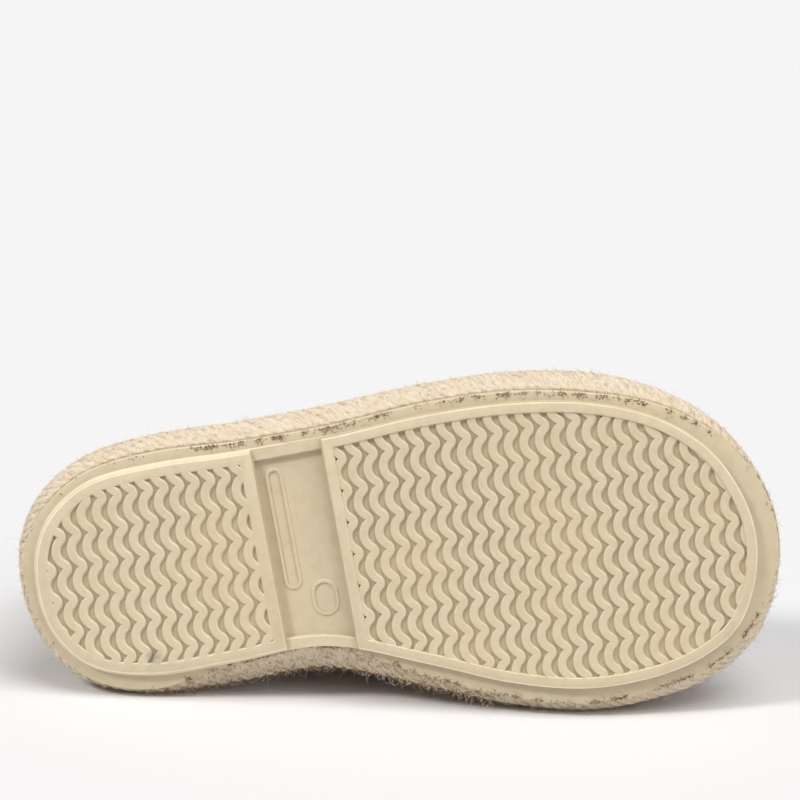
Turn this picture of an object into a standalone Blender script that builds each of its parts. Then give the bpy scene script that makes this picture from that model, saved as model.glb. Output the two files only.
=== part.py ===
"""Child's derby shoe for the right foot, on a jute sole with a moulded rubber tread, lying on its inner side.

The shoe is modelled standing: +X from the heel tip to the toe tip, +Y towards the medial (inner) side, +Z up, with
the tread on z = 0. At the end every piece is hung from one empty, which lays the shoe on its medial side.
Tables and sizes are in millimetres, and MM turns them into metres.
"""

import math

import bmesh
import bpy
from mathutils import Matrix, Vector

MM = 0.001

# Driving sizes of the sole
SOLE_LENGTH = 150.0
FLANGE_BOTTOM = 1.8  # ledge round the tread plate
FLANGE_TOP = 4.4
JUTE_THICKNESS = 12.5
GAP = 0.3  # between pieces that touch
JUTE_BOTTOM = FLANGE_TOP + GAP
JUTE_TOP = JUTE_BOTTOM + JUTE_THICKNESS
TREAD_BEVEL = 0.5
PLATE_DRAFT = 0.25  # how far the plate's wall spreads towards the flange
SPRING_START = 102.0  # where the sole begins to lift towards the toe
SPRING_RAMP = 16.0  # length over which the lift reaches its full slope
SPRING_SLOPE = math.tan(math.radians(11.0))

# Outline of the sole. Each row: distance from the heel tip, half-width of the jute on the lateral and medial side,
# how far the rubber flange stays inside the jute on each side, and how far the tread plate does.
SOLE_COLUMNS = ("x", "lateral", "medial", "flange_lateral", "flange_medial", "plate_lateral", "plate_medial")
SOLE_TABLE = (
    (0.0, 0.0, 0.0, 1.05, 1.05, 4.1, 4.1),
    (4.0, 12.4, 15.4, 2.25, 1.65, 4.5, 3.7),
    (12.0, 19.5, 23.5, 2.5, 1.25, 4.8, 4.05),
    (27.0, 24.4, 26.4, 2.85, 1.2, 5.55, 4.55),
    (43.0, 26.8, 24.6, 3.3, 4.2, 5.6, 5.3),
    (60.0, 30.0, 21.8, 3.5, 4.8, 5.6, 5.5),
    (79.0, 34.2, 25.0, 3.2, 2.4, 5.4, 5.25),
    (95.0, 36.5, 28.7, 3.25, 2.1, 5.45, 5.3),
    (111.0, 36.5, 30.3, 3.5, 2.1, 5.35, 5.5),
    (126.0, 32.7, 28.3, 2.45, 2.6, 4.9, 5.5),
    (138.0, 25.4, 23.7, 1.5, 2.8, 4.8, 5.7),
    (146.0, 15.1, 16.0, 0.6, 2.7, 4.95, 5.4),
    (150.0, 0.0, 0.0, 0.7, 0.7, 5.1, 5.1),
)
HALF_POINTS = 32  # points along each side of an outline

# Tread plate. Lines across the sole are turned by TREAD_TURN, and placed by their distance along the turned axis.
TREAD_TURN = math.radians(10.2)
HEEL_FRONT = 48.85
RIB_BACK = 62.7
RIB_FRONT = 64.8
ARCH_RIM_Z = 1.2
ARCH_FLOOR_Z = 2.4
ARCH_RIM_WIDTH = 1.95
DRAFT = 0.3
PANEL_RIM_WIDTH = 2.2
PANEL_Z = 0.4

# Side of the jute midsole: share of its height, and how far it is drawn in there
JUTE_SIDE = (
    (0.0, 1.7),
    (0.12, 0.6),
    (0.28, 0.0),
    (0.43, 0.5),
    (0.5, 1.3),
    (0.57, 1.1),
    (0.72, 0.9),
    (0.88, 1.4),
    (1.0, 2.5),
)

# Upper
UPPER_BOTTOM = JUTE_TOP + GAP
FEATHER_INSET = 3.6  # upper's outer surface inside the jute, at the feather line
VAMP_WALL = 1.6
QUARTER_STEP = 0.9  # how far the quarters stand proud of the vamp
QUARTER_BITE = 0.5  # how deep they reach into it
WALL_LEVELS = 14
# The last. Each row: distance of a point of the jute's outline from the heel tip, where the crown lies over it, how
# high the crown is over the sole, and the exponent that draws the wall in, which is larger where the last is slimmer.
LAST_COLUMNS = ("x", "crown_x", "crown_height", "slimness")
LAST_TABLE = (
    (0.0, 29.0, 67.0, 1.0),
    (22.0, 34.0, 67.0, 1.0),
    (42.0, 44.0, 65.0, 1.0),
    (56.0, 56.0, 58.0, 1.0),
    (68.0, 68.0, 48.5, 1.0),
    (82.0, 82.0, 40.5, 1.0),
    (98.0, 97.0, 33.0, 0.95),
    (116.0, 113.0, 27.0, 0.85),
    (132.0, 125.0, 23.5, 0.8),
    (150.0, 133.0, 21.5, 0.8),
)
CROWN_SHIFT = 0.35  # share of the outline's sideways offset that the crown keeps

# Cut lines of the upper, seen from the side: distance from the heel tip, and height over the floor
TOPLINE = ((-10.0, 62.5), (4.0, 62.5), (14.0, 60.5), (26.0, 55.5), (38.0, 52.5), (49.0, 53.5), (57.0, 58.5), (63.5, 64.5), (66.5, 71.0), (67.0, 110.0))
QUARTER_LINE = ((94.0, 80.0), (94.5, 58.0), (91.5, 47.5), (84.0, 40.0), (75.5, 32.0), (70.0, 24.0), (67.0, 10.0))

# Throat, seen from above: the gap between the facings and the slot in the vamp under it
GAP_WIDTH_FRONT = 8.0
GAP_WIDTH_BACK = 13.0
GAP_FRONT = 97.0
GAP_BACK = 58.0
SLOT_FRONT = 84.0

INSOLE_THICKNESS = 2.0
TONGUE_THICKNESS = 1.8
TONGUE_ROOT = 93.0
TONGUE_TOP = 61.0
TONGUE_HALF_WIDTH = 12.5
TONGUE_ROUNDING = 0.55  # share of its width that the tongue loses over its last fifth

EYELET_STATIONS = (69.5, 77.0, 84.5)
EYELET_FROM_EDGE = 4.4
EYELET_HOLE_RADIUS = 1.3
EYELET_RADIUS = 2.5
EYELET_HEIGHT = 0.8
LACE_RADIUS = 1.1

MATERIALS = {
    # name: colour, roughness, metallic
    "rubber": ((0.63, 0.54, 0.36), 0.6, 0.0),
    "jute": ((0.62, 0.46, 0.27), 0.95, 0.0),
    "linen": ((0.55, 0.5, 0.42), 0.9, 0.0),
    "lining": ((0.72, 0.66, 0.55), 0.9, 0.0),
    "cotton_lace": ((0.68, 0.62, 0.5), 0.85, 0.0),
    "eyelet_brass": ((0.55, 0.42, 0.22), 0.35, 1.0),
}
DENSITIES = {"rubber": 1.15, "jute": 0.55, "linen": 0.5, "lining": 0.5, "cotton_lace": 0.5, "eyelet_brass": 8.4}


# Curves and outlines


def through(knots, values, at):
    """The value at `at` on a smooth curve through the knots (a cubic Hermite curve with averaged slopes)."""
    last = len(knots) - 1
    at = min(max(at, knots[0]), knots[-1])
    i = next(k for k in range(last) if at <= knots[k + 1])
    steps = [(values[k + 1] - values[k]) / (knots[k + 1] - knots[k]) for k in range(last)]

    def slope(k):
        if k in (0, last):
            return steps[min(k, last - 1)]
        before, after = knots[k] - knots[k - 1], knots[k + 1] - knots[k]
        return (steps[k - 1] * after + steps[k] * before) / (before + after)

    width = knots[i + 1] - knots[i]
    s = (at - knots[i]) / width
    return (
        values[i] * (1 + 2 * s) * (1 - s) ** 2
        + slope(i) * width * s * (1 - s) ** 2
        + values[i + 1] * s * s * (3 - 2 * s)
        + slope(i + 1) * width * s * s * (s - 1)
    )


def column(table, columns, name):
    return [row[columns.index(name)] for row in table]


def turn_of(x):
    """Angle from 0 at the heel tip to pi at the toe tip. Half-widths run straight against it at the round ends."""
    return math.acos(min(1.0, max(-1.0, 1.0 - 2.0 * x / SOLE_LENGTH)))


SOLE_TURNS = [turn_of(x) for x in column(SOLE_TABLE, SOLE_COLUMNS, "x")]


def sole_value(name, turn):
    return through(SOLE_TURNS, column(SOLE_TABLE, SOLE_COLUMNS, name), turn)


def jute_edge(turn, side):
    """Point of the jute's outline, with side -1 lateral and +1 medial."""
    half = sole_value("medial" if side > 0 else "lateral", turn)
    return Vector((SOLE_LENGTH / 2 * (1 - math.cos(turn)), side * half, 0.0))


def inner_edge(turn, side, inset):
    """Point of the outline moved inwards by inset, square to the outline."""
    small = 0.01
    if turn < small or turn > math.pi - small:
        return jute_edge(turn, side) + Vector((inset if turn < small else -inset, 0.0, 0.0))
    along = jute_edge(turn + small / 2, side) - jute_edge(turn - small / 2, side)
    inwards = Vector((along.y, -along.x, 0.0)).normalized() * side
    return jute_edge(turn, side) + inwards * inset


def outline(inset):
    """Closed ring of points, from the heel tip along the lateral side to the toe tip and back along the medial side.
    inset is a number, or the name of a pair of columns in SOLE_TABLE with a number to add, such as ("plate", 2.0)."""
    ring = []
    for k in range(2 * HALF_POINTS):
        side = -1 if k < HALF_POINTS else 1
        turn = math.pi * (k if k <= HALF_POINTS else 2 * HALF_POINTS - k) / HALF_POINTS
        if isinstance(inset, tuple):
            name, extra = inset
            depth = sole_value(f"{name}_{'medial' if side > 0 else 'lateral'}", turn) + extra
        else:
            depth = inset
        ring.append(inner_edge(turn, side, depth))
    return ring


def toe_spring(x):
    """How far the sole lifts at this distance from the heel tip."""
    past = x - SPRING_START
    if past <= 0:
        return 0.0
    if past < SPRING_RAMP:
        return SPRING_SLOPE * past * past / (2 * SPRING_RAMP)
    return SPRING_SLOPE * (past - SPRING_RAMP / 2)


# Meshes


def add_mesh(name, bm, collection):
    """A new object that holds bm, whose points are in millimetres."""
    bmesh.ops.recalc_face_normals(bm, faces=bm.faces)
    bmesh.ops.scale(bm, vec=(MM, MM, MM), verts=bm.verts)
    mesh = bpy.data.meshes.new(name)
    bm.to_mesh(mesh)
    bm.free()
    obj = bpy.data.objects.new(name, mesh)
    collection.objects.link(obj)
    return obj


def stacked(name, levels, collection):
    """A closed solid through rings of equal length, each (ring, z). Its two ends are closed by strips across."""
    bm = bmesh.new()
    rings = [[bm.verts.new((p.x, p.y, z)) for p in ring] for ring, z in levels]
    count = len(rings[0])
    for lower, upper in zip(rings, rings[1:]):
        for k in range(count):
            j = (k + 1) % count
            bm.faces.new((lower[k], lower[j], upper[j], upper[k]))
    for ring in (rings[0], rings[-1]):
        half = count // 2
        bm.faces.new((ring[0], ring[1], ring[-1]))
        for k in range(1, half - 1):
            bm.faces.new((ring[k], ring[k + 1], ring[-k - 1], ring[-k]))
        bm.faces.new((ring[half - 1], ring[half], ring[half + 1]))
    return add_mesh(name, bm, collection)


def prism(name, points, bottom, top, collection):
    """A flat outline in X and Y, from z = bottom to z = top."""
    bm = bmesh.new()
    face = bm.faces.new([bm.verts.new((x, y, bottom)) for x, y in points])
    raised = bmesh.ops.extrude_face_region(bm, geom=[face])
    bmesh.ops.translate(bm, vec=(0, 0, top - bottom), verts=[v for v in raised["geom"] if isinstance(v, bmesh.types.BMVert)])
    return add_mesh(name, bm, collection)


def side_prism(name, points, half_width, collection):
    """A flat outline in X and Z, reaching half_width to both sides."""
    bm = bmesh.new()
    face = bm.faces.new([bm.verts.new((x, -half_width, z)) for x, z in points])
    raised = bmesh.ops.extrude_face_region(bm, geom=[face])
    bmesh.ops.translate(bm, vec=(0, 2 * half_width, 0), verts=[v for v in raised["geom"] if isinstance(v, bmesh.types.BMVert)])
    return add_mesh(name, bm, collection)


def combine(obj, operation, other):
    modifier = obj.modifiers.new(f"{operation.lower()} {other.name}", "BOOLEAN")
    modifier.operation = operation
    modifier.solver = "EXACT"
    modifier.object = other


def settle(obj):
    """Applies the object's modifiers, so that what follows can work on the resulting mesh."""
    graph = bpy.context.evaluated_depsgraph_get()
    mesh = bpy.data.meshes.new_from_object(obj.evaluated_get(graph))
    obj.modifiers.clear()
    obj.data = mesh


def lift_toe(obj):
    """Bends a flat piece of the sole up along the toe spring."""
    for vertex in obj.data.vertices:
        vertex.co.z += toe_spring(vertex.co.x / MM) * MM


def finish(obj, material, smooth_angle=35.0):
    obj.data.materials.clear()
    obj.data.materials.append(bpy.data.materials[material])
    for polygon in obj.data.polygons:
        polygon.use_smooth = True
    obj.data.set_sharp_from_angle(angle=math.radians(smooth_angle))


# Sole


def across_box(name, start, end, bottom, top, collection):
    """A box over the whole width of the sole, between two lines turned as the tread is."""
    along = Vector((math.cos(TREAD_TURN), -math.sin(TREAD_TURN), 0))
    across = Vector((math.sin(TREAD_TURN), math.cos(TREAD_TURN), 0))
    reach = 60.0
    corners = [along * a + across * b for a, b in ((start, -reach), (end, -reach), (end, reach), (start, reach))]
    return prism(name, [(c.x, c.y) for c in corners], bottom, top, collection)


def make_outsole(parts, cutters):
    """One moulding: heel pad, arch recess with its rims, forefoot pad and the flange that the jute stands on."""
    plate = ("plate", 0.0)
    flange = ("flange", 0.0)
    levels = [
        (outline(("plate", TREAD_BEVEL)), 0.0),
        (outline(plate), TREAD_BEVEL),
        (outline(("plate", -PLATE_DRAFT)), FLANGE_BOTTOM),
        (outline(("flange", TREAD_BEVEL)), FLANGE_BOTTOM),
        (outline(flange), FLANGE_BOTTOM + TREAD_BEVEL),
        (outline(flange), FLANGE_TOP),
    ]
    outsole = stacked("outsole", levels, parts)
    below = -2.0
    arch_step = across_box("arch_step", HEEL_FRONT, RIB_BACK, below, ARCH_RIM_Z, cutters)
    arch_floor = stacked("arch_floor", [(outline(("plate", ARCH_RIM_WIDTH)), z) for z in (below, ARCH_FLOOR_Z)], cutters)
    arch_span = across_box("arch_span", HEEL_FRONT + DRAFT, RIB_BACK - DRAFT, below - 1, ARCH_FLOOR_Z + 1, cutters)
    combine(arch_floor, "INTERSECT", arch_span)
    panel = stacked("panel", [(outline(("plate", PANEL_RIM_WIDTH)), z) for z in (below, PANEL_Z)], cutters)
    panel_span = across_box("panel_span", RIB_FRONT, SOLE_LENGTH + 20, below - 1, PANEL_Z + 1, cutters)
    combine(panel, "INTERSECT", panel_span)
    for cutter in (arch_step, arch_floor, panel):
        combine(outsole, "DIFFERENCE", cutter)
    settle(outsole)
    lift_toe(outsole)
    finish(outsole, "rubber", 25.0)
    return outsole


def make_midsole(parts):
    """The jute sole, whose side shows the two rows of the plait that is coiled up into it."""
    levels = [(outline(inset), JUTE_BOTTOM + share * JUTE_THICKNESS) for share, inset in JUTE_SIDE]
    midsole = stacked("midsole", levels, parts)
    lift_toe(midsole)
    finish(midsole, "jute", 60.0)
    return midsole


def make_insole(parts):
    inset = FEATHER_INSET + VAMP_WALL + 2 * GAP
    levels = [
        (outline(inset), UPPER_BOTTOM),
        (outline(inset), UPPER_BOTTOM + INSOLE_THICKNESS * 0.6),
        (outline(inset + 0.8), UPPER_BOTTOM + INSOLE_THICKNESS),
    ]
    insole = stacked("insole", levels, parts)
    lift_toe(insole)
    finish(insole, "lining")
    return insole


# Upper


def last_value(name, x):
    return through(column(LAST_TABLE, LAST_COLUMNS, "x"), column(LAST_TABLE, LAST_COLUMNS, name), x)


def crown_y(x):
    """Sideways place of the crown: the middle of the outline there, drawn towards the long axis."""
    turn = turn_of(x)
    return CROWN_SHIFT * (sole_value("medial", turn) - sole_value("lateral", turn))


def last_point(turn, side, rise):
    """Point of the last's surface on the wall over the outline at `turn`, with rise 0 at the feather line and 1 at
    the crown."""
    foot = inner_edge(turn, side, FEATHER_INSET)
    station = jute_edge(turn, side).x
    crown_x = last_value("crown_x", station)
    crown = Vector((crown_x, crown_y(crown_x), last_value("crown_height", station)))
    angle = rise * math.pi / 2
    keep = math.cos(angle) ** last_value("slimness", station) if rise < 1 else 0.0
    x = crown.x + (foot.x - crown.x) * keep
    y = crown.y + (foot.y - crown.y) * keep
    z = UPPER_BOTTOM + crown.z * math.sin(angle)
    return Vector((x, y, z + toe_spring(x)))


def last_normal(turn, side, rise):
    small = 0.01
    along = last_point(turn + small, side, rise) - last_point(turn - small, side, rise)
    up = last_point(turn, side, rise + small) - last_point(turn, side, rise - small)
    return (along.cross(up) * -side).normalized()


def last_surface(name, collection, deeper=0.0):
    """The last as one open sheet, with its edge at the feather line, reaching `deeper` below it."""
    bm = bmesh.new()
    columns = []
    for k in range(2 * HALF_POINTS):
        side = -1 if k < HALF_POINTS else 1
        turn = math.pi * (k if k <= HALF_POINTS else 2 * HALF_POINTS - k) / HALF_POINTS
        wall = [last_point(turn, side, level / WALL_LEVELS) for level in range(WALL_LEVELS + 1)]
        if deeper:
            wall[0] = wall[0] - Vector((0, 0, deeper))
        columns.append([bm.verts.new(p) for p in wall])
    for k, wall in enumerate(columns):
        other = columns[(k + 1) % len(columns)]
        for level in range(WALL_LEVELS):
            bm.faces.new((wall[level], other[level], other[level + 1], wall[level + 1]))
    bmesh.ops.remove_doubles(bm, verts=bm.verts, dist=0.01)
    return add_mesh(name, bm, collection)


def shell(name, collection, outwards, inwards, deeper=0.0):
    """The last's surface as a wall that reaches `outwards` and `inwards` from it."""
    obj = last_surface(name, collection, deeper)
    wall = obj.modifiers.new("wall", "SOLIDIFY")
    wall.thickness = (outwards + inwards) * MM
    wall.offset = (outwards - inwards) / (outwards + inwards)
    wall.use_even_offset = True
    return obj


def smooth_line(points, steps=5):
    """More points along a smooth line through a few."""
    knots = list(range(len(points)))
    ats = [k / steps for k in range((len(points) - 1) * steps + 1)]
    return [tuple(through(knots, [p[axis] for p in points], at) for axis in (0, 1)) for at in ats]


def throat_outline(front, back, front_width, back_width):
    """The gap of the throat from above, with a round front end."""
    radius = front_width / 2
    middle = crown_y((front + back) / 2)
    centre = front - radius
    bow = [
        (centre + radius * math.cos(a), middle + radius * math.sin(a))
        for a in (math.pi / 2 - math.pi * k / 10 for k in range(11))
    ]
    return [(back, middle + back_width / 2)] + bow + [(back, middle - back_width / 2)]


def width_at(x, front, back, front_width, back_width):
    return front_width + (back_width - front_width) * (front - x) / (front - back)


def eyelet_places():
    """(side, point, normal) of each eyelet, on the outside of the facings, from the top row down."""
    places = []
    for station in EYELET_STATIONS:
        turn = turn_of(station)
        reach = width_at(station, GAP_FRONT, GAP_BACK, GAP_WIDTH_FRONT, GAP_WIDTH_BACK) / 2 + EYELET_FROM_EDGE
        for side in (-1, 1):
            rise = 1.0
            while abs(last_point(turn, side, rise).y - crown_y(station)) < reach:
                rise -= 0.002
            normal = last_normal(turn, side, rise)
            places.append((side, last_point(turn, side, rise) + normal * QUARTER_STEP, normal))
    return places


def make_upper(parts, cutters):
    """Vamp and quarters as one hollow wall. The quarters and their facings are a step in it, and the throat between
    the facings opens onto the tongue."""
    upper = shell("upper", parts, 0.0, VAMP_WALL)
    slot_back_width = width_at(GAP_BACK, GAP_FRONT, GAP_BACK, GAP_WIDTH_FRONT, GAP_WIDTH_BACK)
    slot = prism("slot", throat_outline(SLOT_FRONT, GAP_BACK, GAP_WIDTH_FRONT, slot_back_width), 40, 130, cutters)
    gap = prism("gap", throat_outline(GAP_FRONT, GAP_BACK, GAP_WIDTH_FRONT, GAP_WIDTH_BACK), 30, 130, cutters)
    topline = side_prism("topline", smooth_line(TOPLINE) + [(-10.0, 110.0)], 60.0, cutters)
    quarter_region = side_prism("quarter_region", smooth_line(QUARTER_LINE) + [(-20.0, 10.0), (-20.0, 80.0)], 60.0, cutters)
    quarters = shell("quarters", cutters, QUARTER_STEP, QUARTER_BITE)
    combine(quarters, "INTERSECT", quarter_region)
    combine(quarters, "DIFFERENCE", gap)
    combine(upper, "DIFFERENCE", slot)
    combine(upper, "UNION", quarters)
    combine(upper, "DIFFERENCE", topline)
    for number, (side, point, normal) in enumerate(eyelet_places()):
        bm = bmesh.new()
        bmesh.ops.create_cone(bm, cap_ends=True, segments=12, radius1=EYELET_HOLE_RADIUS, radius2=EYELET_HOLE_RADIUS, depth=10)
        bmesh.ops.transform(bm, matrix=facing(point, normal), verts=bm.verts)
        combine(upper, "DIFFERENCE", add_mesh(f"eyelet_hole_{number}", bm, cutters))
    settle(upper)
    finish(upper, "linen")
    return upper


def facing(point, normal):
    """Matrix that puts a piece made along +Z at a point, along a normal."""
    return Matrix.Translation(point) @ normal.to_track_quat("Z", "Y").to_matrix().to_4x4()


def make_eyelets(parts):
    """Six rings with a rounded lip, three on each facing."""
    eyelets = []
    sides = {-1: "lateral", 1: "medial"}
    mean = (EYELET_RADIUS + EYELET_HOLE_RADIUS) / 2
    half = (EYELET_RADIUS - EYELET_HOLE_RADIUS) / 2
    for number, (side, point, normal) in enumerate(eyelet_places()):
        bm = bmesh.new()
        profile = [(mean - half, 0), (mean + half, 0), (mean + half, 0.4 * EYELET_HEIGHT), (mean, EYELET_HEIGHT), (mean - half, 0.4 * EYELET_HEIGHT)]
        verts = [bm.verts.new((r, 0, h)) for r, h in profile]
        edges = [bm.edges.new((a, b)) for a, b in zip(verts, verts[1:] + verts[:1])]
        bmesh.ops.spin(bm, geom=verts + edges, cent=(0, 0, 0), axis=(0, 0, 1), angle=2 * math.pi, steps=16, use_merge=True, use_duplicate=False)
        bmesh.ops.transform(bm, matrix=facing(point + normal * GAP, normal), verts=bm.verts)
        eyelet = add_mesh(f"eyelet_{sides[side]}_{number // 2 + 1}", bm, parts)
        finish(eyelet, "eyelet_brass")
        eyelets.append(eyelet)
    return eyelets


def make_tongue(parts, cutters):
    """A curved sheet under the facings, from under the vamp to above the top eyelets."""
    depth = VAMP_WALL + GAP
    rows, cols = 15, 8
    bm = bmesh.new()
    grid = []
    for i in range(rows + 1):
        station = TONGUE_ROOT + (TONGUE_TOP - TONGUE_ROOT) * i / rows
        turn = turn_of(station)
        middle = crown_y(station)
        end = max(0.0, (i / rows - 0.8) / 0.2)
        half_width = TONGUE_HALF_WIDTH * (1 - TONGUE_ROUNDING * end * end)
        line = []
        for j in range(cols + 1):
            share = 2 * j / cols - 1
            side = -1 if share < 0 else 1
            reach = abs(share) * half_width
            rise = 1.0
            while abs(last_point(turn, side, rise).y - middle) < reach:
                rise -= 0.002
            rise = min(rise, 0.985)
            point = last_point(turn, side, rise)
            line.append(bm.verts.new(point - last_normal(turn, side, rise) * depth))
        grid.append(line)
    for low, high in zip(grid, grid[1:]):
        for j in range(cols):
            bm.faces.new((low[j], low[j + 1], high[j + 1], high[j]))
    tongue = add_mesh("tongue", bm, parts)
    wall = tongue.modifiers.new("thickness", "SOLIDIFY")
    wall.thickness = TONGUE_THICKNESS * MM
    wall.offset = -1
    settle(tongue)
    finish(tongue, "linen")
    return tongue


def strand(name, points, radius, collection):
    """A round cord through points, as a mesh."""
    data = bpy.data.curves.new(name, "CURVE")
    data.dimensions = "3D"
    data.bevel_depth = radius * MM
    data.bevel_resolution = 1
    data.use_fill_caps = True
    spline = data.splines.new("POLY")
    spline.points.add(len(points) - 1)
    for slot, point in zip(spline.points, points):
        slot.co = (*(point * MM), 1)
    curve = bpy.data.objects.new(name, data)
    collection.objects.link(curve)
    graph = bpy.context.evaluated_depsgraph_get()
    mesh = bpy.data.meshes.new_from_object(curve.evaluated_get(graph))
    bpy.data.objects.remove(curve)
    bm = bmesh.new()
    bm.from_mesh(mesh)
    bmesh.ops.remove_doubles(bm, verts=bm.verts, dist=0.00001)
    bm.to_mesh(mesh)
    bm.free()
    obj = bpy.data.objects.new(name, mesh)
    collection.objects.link(obj)
    return obj


def lace_run(start, end, lift):
    """Points from one eyelet to another, standing clear of the facings. The run leaves and meets each eyelet square
    to its normal, so it arches over the throat."""
    steps = 8
    ends = [point + normal * lift for point, normal in (start, end)]
    chord = ends[1] - ends[0]
    arms = [(chord - normal * chord.dot(normal)).normalized() * chord.length / 4 for _, normal in (start, end)]
    bends = (ends[0], ends[0] + arms[0], ends[1] - arms[1], ends[1])
    points = []
    for k in range(steps + 1):
        s = k / steps
        weights = ((1 - s) ** 3, 3 * s * (1 - s) ** 2, 3 * s * s * (1 - s), s ** 3)
        points.append(sum((bend * weight for bend, weight in zip(bends, weights)), Vector()))
    return points


def make_lace(parts, cutters):
    """A bar between the lowest eyelets and two crossings above it. Its ends stop at the top eyelets."""
    lift = GAP + EYELET_HEIGHT + GAP + LACE_RADIUS
    rows = {}
    for number, (side, point, normal) in enumerate(eyelet_places()):
        rows[(number // 2, side)] = (point, normal)
    runs = [((2, -1), (2, 1)), ((2, -1), (1, 1)), ((2, 1), (1, -1)), ((1, -1), (0, 1)), ((1, 1), (0, -1))]
    lace = None
    for number, (a, b) in enumerate(runs):
        points = lace_run(rows[a], rows[b], lift)
        if lace is None:
            lace = strand("lace", points, LACE_RADIUS, parts)
        else:
            combine(lace, "UNION", strand(f"lace_run_{number}", points, LACE_RADIUS, cutters))
    settle(lace)
    finish(lace, "cotton_lace")
    return lace


# Scene


def clear_scene():
    for obj in list(bpy.data.objects):
        bpy.data.objects.remove(obj)


def make_materials():
    for name, (colour, roughness, metallic) in MATERIALS.items():
        material = bpy.data.materials.new(name)
        material.use_nodes = True
        shader = material.node_tree.nodes["Principled BSDF"]
        shader.inputs["Base Color"].default_value = (*colour, 1)
        shader.inputs["Roughness"].default_value = roughness
        shader.inputs["Metallic"].default_value = metallic


def new_collection(name, hidden=False):
    collection = bpy.data.collections.new(name)
    collection.hide_render = hidden
    bpy.context.scene.collection.children.link(collection)
    return collection


def mass_centre(objects):
    """Centre of mass of the pieces, from their volumes and densities."""
    total, moment = 0.0, Vector()
    for obj in objects:
        density = DENSITIES[obj.data.materials[0].name]
        bm = bmesh.new()
        bm.from_mesh(obj.data)
        bmesh.ops.triangulate(bm, faces=bm.faces)
        for face in bm.faces:
            a, b, c = (v.co for v in face.verts)
            volume = a.dot(b.cross(c)) / 6 * density
            total += volume
            moment += (a + b + c) / 4 * volume
        bm.free()
    return moment / total


def medial_rest(objects, centre):
    """Normal of the plane that the shoe rests on when it lies on its medial side: of the faces of the hull round all
    the pieces which the centre of mass stands over, the one it stands lowest over."""
    bm = bmesh.new()
    for obj in objects:
        for vertex in obj.data.vertices:
            bm.verts.new(vertex.co)
    hull = bmesh.ops.convex_hull(bm, input=bm.verts, use_existing_faces=False)
    faces = [f for f in hull["geom"] if isinstance(f, bmesh.types.BMFace)]
    bmesh.ops.recalc_face_normals(bm, faces=faces)
    steady = []
    for face in faces:
        normal = face.normal.copy()
        if normal.y < 0.8:
            continue
        corners = [v.co.copy() for v in face.verts]
        sides = [
            (corners[(k + 1) % 3] - corners[k]).cross(centre - corners[k]).dot(normal)
            for k in range(3)
        ]
        if min(sides) >= 0 or max(sides) <= 0:
            steady.append(((corners[0] - centre).dot(normal), normal))
    bm.free()
    if not steady:
        raise RuntimeError("the shoe has no resting face on its medial side")
    return min(steady, key=lambda rest: rest[0])[1]


def lay_down(objects):
    """Hangs the pieces from an empty that lays the shoe on its medial side, sole towards -Y, over the origin."""
    normal = medial_rest(objects, mass_centre(objects))
    up = -normal
    ahead = (Vector((1, 0, 0)) - up * up.x).normalized()
    turn = Matrix((ahead, up.cross(ahead), up)).to_4x4()
    points = [turn @ v.co for obj in objects for v in obj.data.vertices]
    low = [min(p[axis] for p in points) for axis in range(3)]
    high = [max(p[axis] for p in points) for axis in range(3)]
    base = Vector(((low[0] + high[0]) / 2, (low[1] + high[1]) / 2, low[2]))
    lying = bpy.data.objects.new("lying_on_medial_side", None)
    bpy.context.scene.collection.objects.link(lying)
    lying.matrix_world = Matrix.Translation(-base) @ turn
    for obj in objects:
        obj.parent = lying
    return lying


def main():
    clear_scene()
    make_materials()
    parts = new_collection("derby_shoe")
    cutters = new_collection("cutters", hidden=True)
    pieces = [make_outsole(parts, cutters), make_midsole(parts), make_insole(parts)]
    pieces += [make_upper(parts, cutters), make_tongue(parts, cutters), make_lace(parts, cutters)]
    pieces += make_eyelets(parts)
    for cutter in cutters.objects:
        cutter.hide_render = True
        cutter.display_type = "WIRE"
    lay_down(pieces)


main()
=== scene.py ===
"""Child's derby shoe for the right foot, on a plaited jute sole with a moulded rubber tread.

Pieces are shaped standing, in millimetres: +X from the heel tip to the toe tip, +Y towards the medial side
and +Z up, with the tread on z = 0. The last step of each piece lays it on the shoe's medial side, in metres.
"""

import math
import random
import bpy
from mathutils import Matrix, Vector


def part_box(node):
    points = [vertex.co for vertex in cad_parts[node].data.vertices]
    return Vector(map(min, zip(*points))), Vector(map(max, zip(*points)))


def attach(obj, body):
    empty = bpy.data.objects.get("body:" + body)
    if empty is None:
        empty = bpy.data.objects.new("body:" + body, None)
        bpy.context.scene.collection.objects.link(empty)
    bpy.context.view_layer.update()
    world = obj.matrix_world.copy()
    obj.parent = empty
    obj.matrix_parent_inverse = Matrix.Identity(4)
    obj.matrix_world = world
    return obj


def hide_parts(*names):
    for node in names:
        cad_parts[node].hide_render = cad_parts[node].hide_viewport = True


bl_info = {
    "name": "Derby shoe on a jute sole",
    "version": (1, 0, 0),
    "blender": (4, 5, 0),
    "location": "3D View > Sidebar > Shoe",
    "description": "Builds a child's derby shoe: tread, jute plait, linen upper, tongue, lace and eyelets",
    "category": "Add Mesh",
}

from bisect import bisect_right
from collections import namedtuple
from contextlib import contextmanager
from functools import lru_cache

import bpy
from mathutils import Matrix, Vector, noise

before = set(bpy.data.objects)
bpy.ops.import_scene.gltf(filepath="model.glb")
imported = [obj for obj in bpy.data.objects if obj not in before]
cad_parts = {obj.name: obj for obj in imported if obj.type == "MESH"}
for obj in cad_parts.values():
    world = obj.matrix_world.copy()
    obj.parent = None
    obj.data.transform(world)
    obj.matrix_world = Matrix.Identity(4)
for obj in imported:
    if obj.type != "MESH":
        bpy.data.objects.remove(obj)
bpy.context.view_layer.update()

MM = 0.001

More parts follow.
